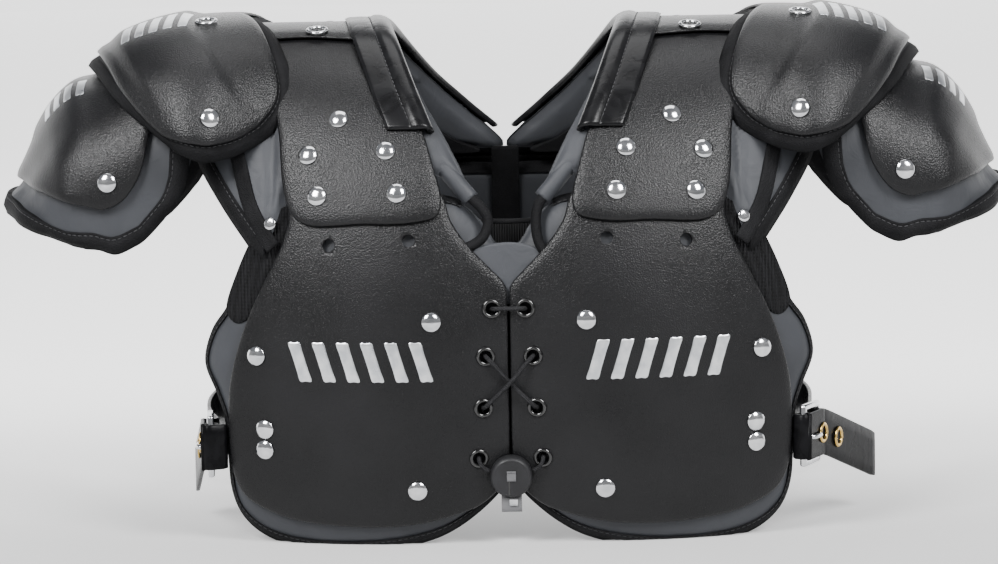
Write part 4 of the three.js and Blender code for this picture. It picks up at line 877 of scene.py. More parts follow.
for word, side in SIDES.items():
    rows = moved_out(EPAULETTE_OUTLINE, EPAULETTE_PAD_MARGIN)
    profile = pad_profile(epaulette_wall, 0.004, epaulette_liner_face)
    liner = pad("epaulette_liner_" + word, epaulette_form, side, rows, EPAULETTE_CORNERS, (56, 100), profile,
                [], [], 0.0003)
    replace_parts(liner, "epaulette_pad_" + word)
    binding("epaulette_binding_" + word, epaulette_form, side, rows, EPAULETTE_CORNERS, 56, profile, 0.0085,
            TAPE_WALL)
    rows = CUP_PAD_OUTLINE
    profile = pad_profile(cup_wall, 0.005, cup_liner_face)
    liner = pad("cup_liner_" + word, cup_form, side, rows, CUP_CORNERS, (56, 100), profile, [], [], 0.0004)
    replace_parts(liner, "cup_pad_" + word)
    binding("cup_binding_" + word, cup_form, side, rows, CUP_CORNERS, 56, profile, 0.0095, 0.0008)

# Straps and panels on the armhole: a black strap over the grey pad beside the arch plate, and a panel of
# black spacer mesh between the shoulder pad and the chest pad.
RIBBON_SECTION = [(-0.5, 0.2), (-0.47, 0.7), (-0.40, 1.0), (-0.2, 0.95), (0, 0.95), (0.2, 0.95),
    (0.40, 1.0), (0.47, 0.7), (0.5, 0.2), (0.47, 0), (-0.47, 0)]


def ribbon(name, form, side, line, width, base, wall, look):
    """A flat band with soft edges along a line of chart points."""
    line = even_line(line, 40)
    along = np.gradient(line, axis=0)
    along /= np.linalg.norm(along, axis=1, keepdims=True)
    square = np.stack([along[:, 1], -along[:, 0]], 1)
    section = [(across * width, base + up * wall) for across, up in RIBBON_SECTION]
    return swept(name, form, side, line, square, section, look)


def spacer_mesh(place):
    ribs = place.node("TexWave", {"Vector": place, "Scale": 190.0, "Distortion": 0.3}, bands_direction="X")
    holes = place.node("TexVoronoi", {"Vector": place, "Scale": 520.0, "Randomness": 0.2})
    return {
        "Base Color": holes.ramp((0.1, (0.002, 0.002, 0.002)), (0.6, (0.010, 0.010, 0.011))),
        "Roughness": ribs * 0.2 + 0.6,
        "Normal": (ribs + holes * 0.7).bump(0.0008, 0.9),
    }


black_mesh = finish("black_mesh", spacer_mesh, Specular_IOR_Level=0.1)
ARM_STRAP = [(0.1430, 0.0780), (0.1395, 0.0880), (0.1340, 0.1060), (0.1270, 0.1180), (0.1215, 0.1255)]
ARM_STRAP_WIDTH = 0.0078
ARM_STRAP_BASE = 0.0024
ARM_STRAP_WALL = 0.0014
MESH_OUTLINE = front(CHEST_WIDTH, (0.76, 0.675), (0.84, 0.665), (0.900, 0.625), (0.960, 0.555),
    (1.004, 0.480), (0.965, 0.450), (0.90, 0.475), (0.82, 0.540))
for word, side in SIDES.items():
    ribbon("arm_strap_" + word, body_form, side, ARM_STRAP, ARM_STRAP_WIDTH, ARM_STRAP_BASE, ARM_STRAP_WALL,
           black_tricot)
    shell("side_mesh_" + word, body_form, side, MESH_OUTLINE, [0, 2, 4, 6], (24, 24), level(-0.0006),
          level(-0.0020), 0.0003, black_mesh)

# Neck binding: shiny black vinyl folded over the neck edge of the arch plates, with a stitched flange on the
# plate and a rolled bead along the opening.
MILLIMETRE = 0.001
ACROSS = np.array([1, 0])
TRIM_SECTION = [(17.0, 0.1), (17.2, 0.7), (16.4, 1.1), (13.0, 1.3), (9.8, 1.4), (6.4, 1.3), (5.4, 1.0),
    (4.6, 1.4), (2.4, 2.2), (0.0, 2.3), (-2.6, 1.7), (-4.8, 0.2), (-6.0, -1.9), (-5.8, -3.9), (-4.6, -5.1),
    (-3.0, -5.1), (-2.3, -4.0), (-2.2, -0.6), (0.0, 0.1)]
TRIM_SEAM = 5.4 * MILLIMETRE
TRIM_SEAM_HEIGHT = 0.0012
TRIM_LAP_TURNS = (14, 28)
NECK_EDGE = over(ARCH_WIDTH, (0.368, 37), (0.441, 28), (0.525, 15.7), (0.565, 5), (0.576, -4), (0.517, -15.7),
                 (0.390, -26.6), (0.229, -35), (0.085, -41))


def vinyl(place):
    pores = place.noise(900.0, 2.0)
    creases = place.noise(90.0, 3.0, Distortion=0.8)
    return {
        "Base Color": creases.ramp((0.35, (0.003, 0.003, 0.0034)), (0.8, (0.008, 0.008, 0.009))),
        "Roughness": creases * 0.16 + 0.20,
        "Normal": (creases + pores * 0.15).bump(0.0006, 0.45),
    }


shiny_vinyl = finish("shiny_vinyl", vinyl, Specular_IOR_Level=0.2)


def trim_base(b):
    turn = np.degrees(b / DEPTH)
    lap = 1 - smoothstep(turn, *TRIM_LAP_TURNS)
    lift = np.where(b > 0, (1 + lap) * LAYER, lap_lift(0 * b, b))
    return lift + PLATE_WALL + LAYER_GAP


for word, side in SIDES.items():
    edge = even_line(NECK_EDGE, 110, 400)
    base = trim_base(edge[:, 1])
    outline = curve(TRIM_SECTION, np.linspace(0, 1, 64, endpoint=False), closed=True) * MILLIMETRE
    section = [(out, base + up) for out, up in outline]
    trim = swept("neck_binding_" + word, body_form, side, edge, ACROSS, section, shiny_vinyl)
    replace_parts(trim, "neck_trim_" + word)
    sewn = placed(body_form, edge[3:-3, 0] + TRIM_SEAM, edge[3:-3, 1], base[3:-3] + TRIM_SEAM_HEIGHT, side)[0]
    SEAMS.append((sewn, False))


# Collar ends: at each side of the throat the grey collar roll stops at a seam, and a black piping loop runs
# on from it, round the corner of the chest pad and back under the plate.
def tube(name, points, radius, look, sides=14):
    """A round bar along points, carried on with the least twist."""
    points = np.asarray(points, float)
    ways = np.gradient(points, axis=0)
    ways /= np.linalg.norm(ways, axis=1, keepdims=True)
    square = np.cross(ways[0], [0.3, 0.2, 1.0])
    rings = []
    for point, way in zip(points, ways):
        square = square - way * np.dot(square, way)
        square /= np.linalg.norm(square)
        other = np.cross(way, square)
        angles = np.linspace(0, 2 * math.pi, sides, endpoint=False)[:, None]
        rings.append(point + radius * (np.cos(angles) * square + np.sin(angles) * other))
    return lofted(name, rings, look)


LOOP_LINE = {
    "left": [(0.0190, 0.1030), (0.0130, 0.1080), (0.0098, 0.1140), (0.0130, 0.1215), (0.0216, 0.1262)],
    "right": [(0.0190, 0.1030), (0.0160, 0.1080), (0.0148, 0.1150), (0.0165, 0.1242), (0.0225, 0.1325)]}
LOOP_RADIUS = 0.0027
LOOP_BASE = -0.0012
for word, side in SIDES.items():
    line = even_line(LOOP_LINE[word], 40)
    loop_line = placed(body_form, line[:, 0], line[:, 1], LOOP_BASE, side)[0]
    tube("collar_loop_" + word, loop_line, LOOP_RADIUS, black_tricot)

# Collar rolls and throat panel: padded grey rolls along the neck edge of the shoulder pads, and the grey flap
# of the body pads that fills the notch between the chest plates.
COLLAR_LINE = [(0.0580, 0.0560), (0.0500, 0.0690), (0.0420, 0.0800), (0.0316, 0.0902), (0.0240, 0.0978),
    (0.0182, 0.1036)]
COLLAR_RADIUS = 0.0046
COLLAR_BASE = -0.0030
THROAT_OUTLINE = front(CHEST_WIDTH, (-0.120, 0.520), (0.000, 0.490), (0.150, 0.520), (0.160, 0.575),
    (0.122, 0.590), (0.020, 0.606), (-0.100, 0.598), (-0.125, 0.575))
for word, side in SIDES.items():
    line = even_line(COLLAR_LINE, 50)
    roll_line = placed(body_form, line[:, 0], line[:, 1], COLLAR_BASE, side)[0]
    roll = tube("collar_roll_" + word, roll_line, COLLAR_RADIUS, grey_nylon, 24)
throat = shell("throat_panel", body_form, 1, THROAT_OUTLINE, [0, 2, 4, 6], (36, 24), level(-0.0008),
               level(-0.0028), 0.0008, grey_nylon)

# Nape: inside the back, a black sheet below the grey collar that is painted shade for the recess there,
# and a black binding over the seam of the pads.
NAPE_SHADE_OUTLINE = rear(ARCH_WIDTH, (0.120, 0.752), (0.400, 0.750), (0.720, 0.752), (0.740, 0.880),
    (0.560, 0.895), (0.390, 0.832), (0.250, 0.782))
# Painted shade: a black sheet on the inner face of the shoulder pads, darkening the recess under the collar.
for word, side in SIDES.items():
    shell("nape_lining_" + word, body_form, side, NAPE_SHADE_OUTLINE, [0, 2, 4, 6], (32, 20), level(-0.0092),
          level(-0.0118), 0.0004, black_tricot)
seam_line = [(0.0, body_turn(up * CREST, -1) * DEPTH) for up in (0.440, 0.520, 0.600, 0.680, 0.770)]
ribbon("back_seam_binding", body_form, 1, seam_line, 0.0140, -0.0150, 0.0016, black_tricot)
front_seam_line = [(0.0, body_turn(up * CREST) * DEPTH) for up in (0.120, 0.220, 0.320, 0.420, 0.520)]
ribbon("chest_seam_binding", body_form, 1, front_seam_line, 0.0120, -0.0198, 0.0014, black_tricot)

# Neck elastic: a black ribbed band sewn behind the chest pads across the throat, with a bound top edge.
def ribbed_elastic(place):
    ribs = place.node("TexWave", {"Vector": place, "Scale": 230.0, "Distortion": 0.4}, bands_direction="X")
    return {
        "Base Color": ribs.ramp((0.2, (0.002, 0.002, 0.002)), (0.8, (0.012, 0.012, 0.013))),
        "Roughness": ribs * 0.1 + 0.6,
        "Normal": (ribs + place.noise(700.0) * 0.2).bump(0.0009, 0.9),
    }


elastic = finish("elastic", ribbed_elastic, Specular_IOR_Level=0.15)
WEB_HALF_WIDTH = 0.040
WEB_TOP = 0.690
WEB_HEIGHT = 0.105
WEB_BOW = 0.030
WEB_DEPTH = 0.0148
WEB_WALL = 0.0018


def web_rings():
    rings = []
    for share in np.linspace(-1, 1, 41):
        a = share * WEB_HALF_WIDTH
        relief = lace_relief(a)
        top = (WEB_TOP - WEB_BOW * (1 - share ** 2)) * CREST
        heights = np.linspace(top, top - WEB_HEIGHT * CREST, 12)
        b = np.array([body_turn(height) * DEPTH for height in heights])
        outer = placed(body_form, a, b, -WEB_DEPTH - relief, 1)[0]
        inner = placed(body_form, a, b, -WEB_DEPTH - relief - WEB_WALL, 1)[0]
        rings.append(np.vstack([outer, inner[::-1]]))
    return rings


neck_elastic = lofted("neck_elastic", web_rings(), elastic)
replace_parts(neck_elastic, "neck_web")
top_edge = np.array([ring[0] for ring in web_rings()]) + np.array([0, WEB_WALL / 2, 0])
tube("neck_elastic_edge", top_edge, 0.0016, black_tricot)

# Back webbing: one flat elastic strip over the seam of the back plates.
BACK_WEB_WIDTH = 0.030
BACK_WEB_WALL = 0.002
BACK_WEB_BASE = 0.0040
web_line = [(0.0, body_turn(up * CREST, -1) * DEPTH) for up in (0.200, 0.300, 0.400, 0.500, 0.600)]
web_line = even_line(web_line, 60)
section = [(-0.5, 0.3), (-0.485, 0.9), (-0.45, 1.0), *[(u, 1.0) for u in np.linspace(-0.4, 0.4, 9)],
           (0.45, 1.0), (0.485, 0.9), (0.5, 0.3), (0.485, 0.0), *[(u, 0.0) for u in np.linspace(0.4, -0.4, 9)],
           (-0.485, 0.0)]
section = [(u * BACK_WEB_WIDTH, BACK_WEB_BASE + up * BACK_WEB_WALL) for u, up in section]
back_webbing = swept("back_webbing", body_form, 1, web_line, ACROSS, section, elastic)
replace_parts(back_webbing, "back_web")


# Rivets, rings and eyelets: turned metal heads set on the plates by one node tree. Chrome domes hold the
# arches and flaps, black lacquered eyelets carry the lace, brass ones pierce the belts.
def turned_head(name, rings, segments=ROUND_SIDES):
    """A unit-wide turned shape from rings of radius and height; it is only a pattern for the node tree."""
    angles = [2 * math.pi * k / segments for k in range(segments)]
    points = [(r * math.cos(angle), r * math.sin(angle), height) for r, height in rings for angle in angles]
    mesh = bpy.data.meshes.new(name)
    mesh.from_pydata(points, [], ring_faces(len(rings), segments, True))
    shape = bmesh.new()
    shape.from_mesh(mesh)
    bmesh.ops.remove_doubles(shape, verts=shape.verts, dist=1e-5)
    bmesh.ops.dissolve_degenerate(shape, edges=shape.edges, dist=1e-6)
    bmesh.ops.recalc_face_normals(shape, faces=shape.faces)
    shape.to_mesh(mesh)
    shape.free()
    mesh.shade_smooth()
    return bpy.data.objects.new(name, mesh)


def node_tree(name, *inputs):
    tree = bpy.data.node_groups.new(name, "GeometryNodeTree")
    tree.interface.new_socket("Geometry", in_out="INPUT", socket_type="NodeSocketGeometry")
    for label, kind in inputs:
        tree.interface.new_socket(label, in_out="INPUT", socket_type="NodeSocket" + kind)
    tree.interface.new_socket("Geometry", in_out="OUTPUT", socket_type="NodeSocketGeometry")
    return tree, tree.nodes.new("NodeGroupInput"), tree.nodes.new("NodeGroupOutput")


def add_node(tree, kind, links=None, values=None, **settings):
    made = tree.nodes.new(kind)
    for label, value in settings.items():
        setattr(made, label, value)
    for label, socket in (links or {}).items():
        tree.links.new(socket, made.inputs[label])
    for label, value in (values or {}).items():
        made.inputs[label].default_value = value
    return made


def applied(carrier, tree, values):
    """Replaces an object's mesh by what a node tree makes of it."""
    step = carrier.modifiers.new(tree.name, "NODES")
    step.node_group = tree
    for item in tree.interface.items_tree:
        if item.item_type == "SOCKET" and item.in_out == "INPUT" and item.name in values:
            step[item.identifier] = values[item.name]
    baked(carrier)


def instances(tree, start, end, links):
    """Ends a tree: sets a pattern on its points, makes the copies real and gives them their finish."""
    copies = add_node(tree, "GeometryNodeInstanceOnPoints", links)
    real = add_node(tree, "GeometryNodeRealizeInstances", {"Geometry": copies.outputs["Instances"]})
    dressed = add_node(tree, "GeometryNodeSetMaterial",
                       {"Geometry": real.outputs["Geometry"], "Material": start.outputs["Finish"]})
    tree.links.new(dressed.outputs["Geometry"], end.inputs["Geometry"])
    return tree


def head_tree():
    tree, start, end = node_tree("set_heads", ("Head", "Object"), ("Width", "Float"), ("Finish", "Material"))
    points = add_node(tree, "GeometryNodeMeshToPoints", {"Mesh": start.outputs["Geometry"]})
    head = add_node(tree, "GeometryNodeObjectInfo", {"Object": start.outputs["Head"]})
    facing = add_node(tree, "GeometryNodeInputNamedAttribute", values={"Name": "facing"},
                      data_type="FLOAT_VECTOR")
    turn = add_node(tree, "FunctionNodeAlignRotationToVector", {"Vector": facing.outputs["Attribute"]},
                    axis="Z")
    return instances(tree, start, end, {
        "Points": points.outputs["Points"], "Instance": head.outputs["Geometry"],
        "Rotation": turn.outputs["Rotation"], "Scale": start.outputs["Width"]})


HEAD_TREE = head_tree()


def heads(name, head, places, width, look):
    """One piece of like heads; places are points and normals."""
    mesh = bpy.data.meshes.new(name)
    mesh.from_pydata([tuple(point) for point, normal in places], [], [])
    facing = mesh.attributes.new("facing", "FLOAT_VECTOR", "POINT")
    facing.data.foreach_set("vector", np.array([normal for point, normal in places]).ravel())
    carrier = linked(name, mesh)
    applied(carrier, HEAD_TREE, {"Head": head, "Width": width, "Finish": look})
    return riding(carrier)


def worn(scale, spread, least, *stops, detail=3.0):
    """A surface whose roughness, from its least value up, and colour vary with wear."""
    def look(place):
        wear = place.noise(scale, detail)
        return {"Roughness": wear * spread + least, "Base Color": wear.ramp(*stops)}
    return look


def polished(place):
    surface = worn(160.0, 0.14, 0.06, (0.3, (0.55, 0.56, 0.58)), (0.7, (0.80, 0.80, 0.81)))(place)
    return {**surface, "Normal": place.noise(500.0).bump(0.0002, 0.25)}


chrome = finish("chrome", polished, Metallic=1.0)
brass = finish("brass", worn(200.0, 0.16, 0.14, (0.3, (0.42, 0.27, 0.07)), (0.7, (0.72, 0.50, 0.17))),
               Metallic=1.0)
black_lacquer = finish(
    "black_lacquer", worn(220.0, 0.12, 0.10, (0.4, (0.004, 0.004, 0.004)), (0.8, (0.012, 0.012, 0.012))),
    Coat_Weight=0.6, Coat_Roughness=0.05)
DOME = turned_head("dome", [(0, 0), (0.47, 0), (0.5, 0.02), (0.5, 0.045), (0.475, 0.07), (0.40, 0.125),
    (0.30, 0.165), (0.20, 0.190), (0.10, 0.203), (0, 0.207)])
RING = turned_head("ring", [(0.30, 0), (0.46, 0), (0.5, 0.03), (0.47, 0.085), (0.41, 0.115), (0.34, 0.10),
                            (0.30, 0.05)])
BUTTON = turned_head("button", [(0, 0), (0.5, 0), (0.5, 0.12), (0.44, 0.18), (0.2, 0.20), (0, 0.20)])
RIVET_WIDTH = 0.0102
EYELET_WIDTH = 0.0102
RING_WIDTH = 0.0125
SNAP_WIDTH = 0.0066
SEAT = 0.0002
BELT_GAP = 0.0014
BELT_WALL = 0.0022
BELT_FACE = PLATE_WALL + BELT_GAP + BELT_WALL + 0.0003
BELT_END_RIVETS = (0.1095, 0.1235)
BUCKLE_RISE = 0.198
EPAULETTE_RIVET = (0.364, 0.896)
CUP_RIVET = (0.302, 0.909)
EPAULETTE_RINGS = (0.395, 0.30)
CREST_RING = (0.100, 0.0225)
CREST_RIVET = (0.096, -0.020)
ARM_SNAP = (0.1228, 0.1147)
CHEST_RIVETS = over(CHEST_WIDTH, (0.273, 78.2), (0.888, 86.9), (0.864, 105.3), (0.866, 110.1), (0.331, 118.5))
ARCH_RIVETS = front(ARCH_WIDTH, (0.734, 0.841), (0.866, 0.775), (0.527, 0.782), (0.826, 0.699),
    (0.481, 0.703))
rivets, rings_on_arch, eyelets = [], [], []
for word, side in SIDES.items():
    for sign, on_plate in ((1, CHEST_RIVETS), (-1, CHEST_RIVETS[:2] + CHEST_RIVETS[4:])):
        rivets += [placed(body_form, a, sign * b, PLATE_WALL + SEAT, side) for a, b in on_plate]
        rivets += [placed(body_form, a, sign * b, LAYER + PLATE_WALL + SEAT, side) for a, b in ARCH_RIVETS]
        rivets.append(placed(epaulette_form, EPAULETTE_START + EPAULETTE_RIVET[0] * EPAULETTE_LENGTH,
                             sign * EPAULETTE_RIVET[1] * EPAULETTE_WRAP, SEAT, side))
        rivets.append(placed(cup_form, CUP_START + CUP_RIVET[0] * CUP_LENGTH,
                             sign * CUP_RIVET[1] * CUP_WRAP, SEAT, side))
    rings_on_arch.append(placed(body_form, *CREST_RING, 2 * LAYER + PLATE_WALL + SEAT, side))
    for sign in (1, -1):
        rings_on_arch.append(placed(epaulette_form, EPAULETTE_START + EPAULETTE_RINGS[0] * EPAULETTE_LENGTH,
                                    sign * EPAULETTE_RINGS[1] * EPAULETTE_WRAP, SEAT, side))
    rivets.append(placed(body_form, *CREST_RIVET, 2 * LAYER + PLATE_WALL + SEAT, side))
    belt_end_turn = body_turn(BUCKLE_RISE * CREST, -1) * DEPTH
    rivets += [placed(body_form, a, belt_end_turn, BELT_FACE, side) for a in BELT_END_RIVETS]
    eyelets += [placed(body_form, a, b, PLATE_WALL + SEAT, side) for a, b in CHEST_HOLES[:4]]
chrome_rivets = heads("chrome_rivets", DOME, rivets, RIVET_WIDTH, chrome)
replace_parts(chrome_rivets, *[f"arch_rivet_{i}_{word}" for i in range(1, 6) for word in SIDES],
            *[f"{flap}_rivet_{word}" for flap in ("epaulette", "cup") for word in SIDES])
heads("web_rings", RING, rings_on_arch, RING_WIDTH, chrome)
lace_eyelets = heads("lace_eyelets", RING, eyelets, EYELET_WIDTH, black_lacquer)
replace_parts(lace_eyelets, *[f"lace_eyelet_{i}_{word}" for i in range(1, 5) for word in SIDES])
snaps = [placed(body_form, *ARM_SNAP, PLATE_WALL + SEAT, side) for side in SIDES.values()]
heads("liner_snaps", BUTTON, snaps, SNAP_WIDTH, chrome)


# Stitches: short thread ends laid along every sewn line of the bindings and the neck vinyl by a node tree.
def stitch_tree():
    tree, start, end = node_tree("sew", ("Thread", "Object"), ("Spacing", "Float"), ("Finish", "Material"))
    line = add_node(tree, "GeometryNodeMeshToCurve", {"Mesh": start.outputs["Geometry"]})
    spots = add_node(tree, "GeometryNodeCurveToPoints",
                     {"Curve": line.outputs["Curve"], "Length": start.outputs["Spacing"]}, mode="LENGTH")
    turn = add_node(tree, "FunctionNodeAlignRotationToVector", {"Vector": spots.outputs["Tangent"]}, axis="Z")
    thread = add_node(tree, "GeometryNodeObjectInfo", {"Object": start.outputs["Thread"]})
    return instances(tree, start, end, {
        "Points": spots.outputs["Points"], "Instance": thread.outputs["Geometry"],
        "Rotation": turn.outputs["Rotation"]})


def sewing_thread(place):
    return {"Base Color": place.noise(800.0).ramp((0.3, (0.018, 0.018, 0.020)), (0.8, (0.060, 0.060, 0.064))),
            "Roughness": place.noise(900.0) * 0.2 + 0.45}


THREAD = turned_head("thread", [(0, -0.00115), (0.00013, -0.00105), (0.00020, -0.0006), (0.00022, 0),
                                (0.00020, 0.0006), (0.00013, 0.00105), (0, 0.00115)], 6)
STITCH_SPACING = 0.0031
seam_points, seam_edges = [], []
for sewn, closed in SEAMS:
    first = len(seam_points)
    seam_points += [tuple(point) for point in sewn]
    seam_edges += [(first + k, first + k + 1) for k in range(len(sewn) - 1)]
    if closed:
        seam_edges.append((first + len(sewn) - 1, first))
seam_mesh = bpy.data.meshes.new("stitches")
seam_mesh.from_pydata(seam_points, seam_edges, [])
stitches = linked("stitches", seam_mesh)
applied(stitches, stitch_tree(), {"Thread": THREAD, "Spacing": STITCH_SPACING,
                                  "Finish": finish("sewing_thread", sewing_thread)})
riding(stitches)


# Side belts: black vinyl straps from the back plates round the sides, through a chrome frame and back as a
# free tail with brass eyelets. Their run is the solids' own, smoothed.
def smoothed(name, node, look, levels=2, sharp=50, bevel=0.0):
    """A finer copy of a CAD node: doubles merged, its sharp edges kept or rounded."""
    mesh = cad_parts[node].data.copy()
    shape = bmesh.new()
    shape.from_mesh(mesh)
    bmesh.ops.remove_doubles(shape, verts=shape.verts, dist=2e-5)
    bmesh.ops.join_triangles(
        shape, faces=shape.faces, angle_face_threshold=0.7, angle_shape_threshold=0.9, cmp_seam=False,
        cmp_sharp=False, cmp_uvs=False, cmp_vcols=False, cmp_materials=False)
    if bevel:
        edges = [edge for edge in shape.edges if edge.calc_face_angle(0) > math.radians(sharp)]
        bmesh.ops.bevel(shape, geom=edges, offset=bevel, segments=3, profile=0.5, affect="EDGES",
                        clamp_overlap=True)
    crease = shape.edges.layers.float.get("crease_edge") or shape.edges.layers.float.new("crease_edge")
    for edge in shape.edges:
        if not bevel and edge.calc_face_angle(0) > math.radians(sharp):
            edge[crease] = 0.85
    shape.to_mesh(mesh)
    shape.free()
    mesh.materials.clear()
    mesh.materials.append(look)
    mesh.shade_smooth()
    piece = linked(name, mesh)
    if levels:
        smooth = piece.modifiers.new("smooth", "SUBSURF")
        smooth.levels = levels
        smooth.render_levels = levels
        baked(piece)
    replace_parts(riding(piece), node)


belt_vinyl = finish("belt_vinyl", vinyl, Specular_IOR_Level=0.06)
BUCKLE_OUT = 1.075 * CHEST_WIDTH
BUCKLE_FORWARD = 0.655 * DEPTH
BUCKLE_UP = BUCKLE_RISE * CREST
BAR_REACH = 0.0097
TAIL = {"right": (26, 0.022), "left": (4, 0.026)}
BELT_MIDDLE = 0.00405
TAIL_LENGTH = 0.064
TAIL_FLARE = 0.0048
TAIL_EYELETS = (-0.0045, 0.0150)
TAIL_EYELET_WIDTH = 0.0115
COVER_SECTION = [(0.0, 0.0125), (0.0011, 0.0121), (0.0011, -0.0121), (0.0, -0.0125), (-0.0011, -0.0121),
                 (-0.0011, 0.0121)]
PRONG_LINE = [(-0.0205, 0.0048), (-0.0185, 0.0066), (-0.0150, 0.0070), (-0.0118, 0.0066), (-0.0098, 0.0048),
              (-0.0090, 0.0030)]
PRONG_RADIUS = 0.0014


def belt_place(word, along, out, rise=0.0):
    """A point by its distance behind the buckle's rear bar and out from it, on the belt's centre line."""
    splay, sag = TAIL[word]
    side = SIDES[word]
    way = np.array([math.sin(math.radians(splay)), math.cos(math.radians(splay))])
    away = np.array([way[1], -way[0]])
    share = max(0.0, along) / TAIL_LENGTH
    buckle = np.array([BUCKLE_OUT, -BUCKLE_FORWARD])
    plan = buckle + way * (BAR_REACH + along) + away * (out + TAIL_FLARE * share)
    point = np.array([side * plan[0], plan[1], BUCKLE_UP - sag * share + rise])
    return point, np.array([side * away[0], away[1], 0])


belt_eyelets = []
for word, side in SIDES.items():
    smoothed("side_belt_" + word, "belt_" + word, belt_vinyl)
    smoothed("belt_loop_" + word, "belt_tab_" + word, belt_vinyl)
    smoothed("belt_frame_" + word, "buckle_" + word, chrome, levels=0, bevel=0.0013)
    rings = [[belt_place(word, along, BELT_MIDDLE + out, rise)[0] for out, rise in COVER_SECTION]
             for along in np.linspace(-0.0225, -0.0009, 10)]
    lofted("belt_cover_" + word, rings, belt_vinyl)
    prong_line = even_line([belt_place(word, along, out)[0] for along, out in PRONG_LINE], 20, 80)
    prong = tube("belt_prong_" + word, prong_line, PRONG_RADIUS, chrome)
    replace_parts(prong, "buckle_prong_" + word)
    belt_eyelets += [belt_place(word, along, BELT_MIDDLE + BELT_WALL / 2 + 0.00005) for along in TAIL_EYELETS]
heads("belt_eyelets", RING, belt_eyelets, TAIL_EYELET_WIDTH, brass)


# Lace and lock: a braided black cord through the eyelets, held by a round plastic lock with a release slot
# and a paler tongue below.
def braid(place):
    one = place.node("TexWave", {"Vector": place, "Scale": 420.0, "Distortion": 0.2},
                     bands_direction="DIAGONAL")
    weave = place.node("TexVoronoi", {"Vector": place, "Scale": 1500.0, "Randomness": 0.4})
    return {
        "Base Color": weave.ramp((0.2, (0.006, 0.006, 0.0065)), (0.7, (0.018, 0.018, 0.020))),
        "Roughness": one * 0.1 + 0.6,
        "Normal": (one * 0.6 + weave).bump(0.0005, 0.9),
    }


def moulded(dark, pale):
    def look(place):
        grain = place.noise(700.0, 3.0)
        return {"Base Color": place.noise(60.0).ramp((0.3, dark), (0.8, pale)),
                "Roughness": grain * 0.2 + 0.38, "Normal": grain.bump(0.0003, 0.5)}
    return look


braided_cord = finish("braided_cord", braid, Specular_IOR_Level=0.2)
lock_plastic = finish("lock_plastic", moulded((0.010, 0.010, 0.011), (0.018, 0.018, 0.020)),
                      Specular_IOR_Level=0.3)
tab_plastic = finish("tab_plastic", moulded((0.10, 0.10, 0.105), (0.14, 0.14, 0.145)), Specular_IOR_Level=0.3)
smoothed("braided_lace", "lace", braided_cord, levels=2, sharp=80)
LOCK_UP = 0.147 * CREST
lock_turn = body_turn(LOCK_UP) * DEPTH
lock_foot, lock_normal = placed(body_form, 0.0, lock_turn, 0.0, 1)
LOCK_RADIUS = 0.011
seat_heights = [np.dot(placed(body_form, u * LOCK_RADIUS, body_turn(LOCK_UP + v * LOCK_RADIUS) * DEPTH,
                              PLATE_WALL, 1)[0] - lock_foot, lock_normal) for u in (-1, -0.5, 0, 0.5, 1)
                for v in (-1, 0, 1)]
lock_seat = lock_foot + lock_normal * (max(seat_heights) + 0.0003)
lock_disc = turned_head("lock_disc", [(0, 0), (0.48, 0), (0.5, 0.02), (0.5, 0.23), (0.475, 0.29),
    (0.44, 0.325), (0.41, 0.334), (0.395, 0.328), (0.38, 0.332), (0.2, 0.340), (0, 0.340)], 72)
lock = heads("lock", lock_disc, [(lock_seat, lock_normal)], 2 * LOCK_RADIUS, lock_plastic)
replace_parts(lock, "lace_lock")
lock_up = np.cross(lock_normal, [1.0, 0, 0])
lock_up = lock_up * np.sign(lock_up[2])


def lock_block(name, across, up, low, high, size, look):
    """A small bevelled block on the lock's face."""
    shape = bmesh.new()
    bmesh.ops.create_cube(shape, size=1)
    turn = np.stack([np.array([1.0, 0, 0]), lock_up, lock_normal], 1)
    for vertex in shape.verts:
        local = np.array(vertex.co) * np.array([size[0], size[1], high - low])
        local += np.array([across, up, (high + low) / 2])
        vertex.co = Vector(lock_seat + turn @ local)
    bmesh.ops.bevel(shape, geom=list(shape.edges), offset=0.12 * min(size), segments=2, profile=0.5,
                    affect="EDGES", clamp_overlap=True)
    bmesh.ops.recalc_face_normals(shape, faces=shape.faces)
    mesh = bpy.data.meshes.new(name)
    shape.to_mesh(mesh)
    shape.free()
    mesh.materials.append(look)
    return riding(linked(name, mesh))


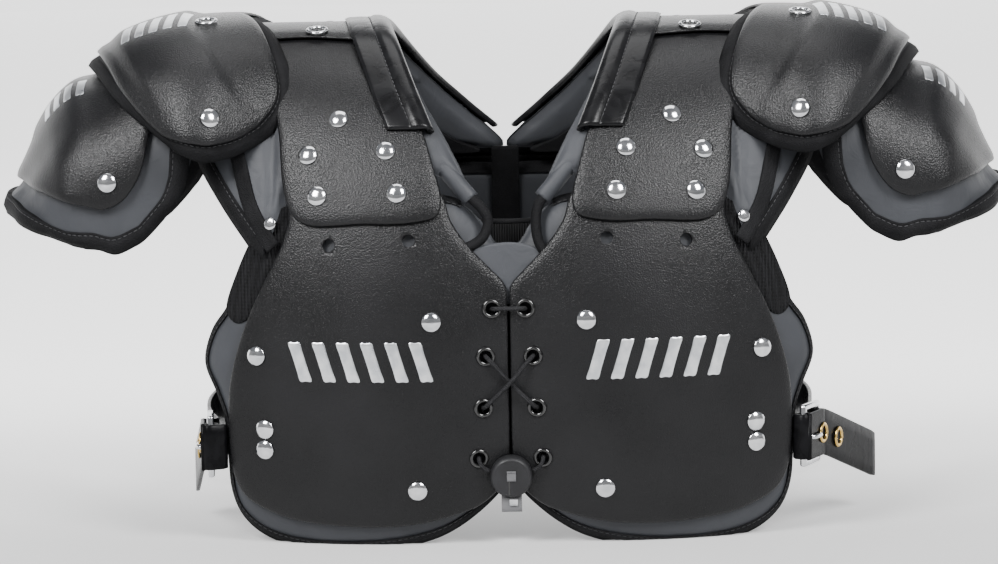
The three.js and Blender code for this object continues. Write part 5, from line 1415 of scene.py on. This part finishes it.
lock_block("lock_window", 0, 0.0012, 0.0068, 0.0079, (0.0038, 0.0046), tab_plastic)
lock_block("lock_slit", -0.0012, -0.0050, 0.0068, 0.00762, (0.0007, 0.0078), black_lacquer)
tongue = lock_block("lock_tongue", 0, -LOCK_RADIUS - 0.0038, 0.0003, 0.0040, (0.009, 0.0070), tab_plastic)
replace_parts(tongue, "lace_lock_tab")
lock_block("lock_spring", 0.001, -LOCK_RADIUS - 0.0028, 0.0038, 0.0046, (0.0036, 0.0030), chrome)


# Foil: plain slanted silver bars pressed into the plates where such pads carry their decoration.
foil_shine = worn(160.0, 0.25, 0.2, (0.35, (0.62, 0.64, 0.67)), (0.65, (0.86, 0.87, 0.88)), detail=4.0)
silver_foil = finish("silver_foil", foil_shine, Metallic=1.0)
FOIL_LIFT = 0.00012
FOIL_SINK = 0.0001
FOIL_EDGE = 0.00005
BAR_ROUND = [(-1, -1), (0, -1), (1, -1), (1, -0.5), (1, 0), (1, 0.5), (1, 1), (0, 1), (-1, 1), (-1, 0.5),
             (-1, 0), (-1, -0.5)]


def foil_bar(name, form, side, a, b, width, length, slant, surface):
    """A slanted bar with its middle at a chart point; surface is the plate's outer offset there."""
    rows = [(a + u * width / 2 + v * slant / 2, b + v * length / 2) for u, v in BAR_ROUND]
    shell(name, form, side, rows, [0, 2, 6, 8], (6, 16), level(surface + FOIL_LIFT),
          level(surface - FOIL_SINK), FOIL_EDGE, silver_foil)


# Each row of bars: their number, the first one's place and the step, then the place round the form, a bar's
# width, length and slant, and the plate's outer offset
FOIL_ROWS = [
    ("chest", body_form, 6, 0.046, 0.0125, 0.1815, 0.0060, 0.020, -0.006, PLATE_WALL),
    ("cup", cup_form, 4, CUP_START + 0.40 * CUP_LENGTH, 0.070 * CUP_LENGTH, 0.32 * CUP_WRAP, 0.0046, 0.030,
     0.002, 0),
    ("epaulette", epaulette_form, 5, EPAULETTE_START + 0.50 * EPAULETTE_LENGTH, 0.075 * EPAULETTE_LENGTH,
     0.27 * EPAULETTE_WRAP, 0.0048, 0.034, 0.002, 0)]
for word, side in SIDES.items():
    for kind, form, count, first, step, around, *sizes in FOIL_ROWS:
        for k in range(count):
            foil_bar(f"{kind}_foil_{k + 1}_{word}", form, side, first + step * k, around, *sizes)
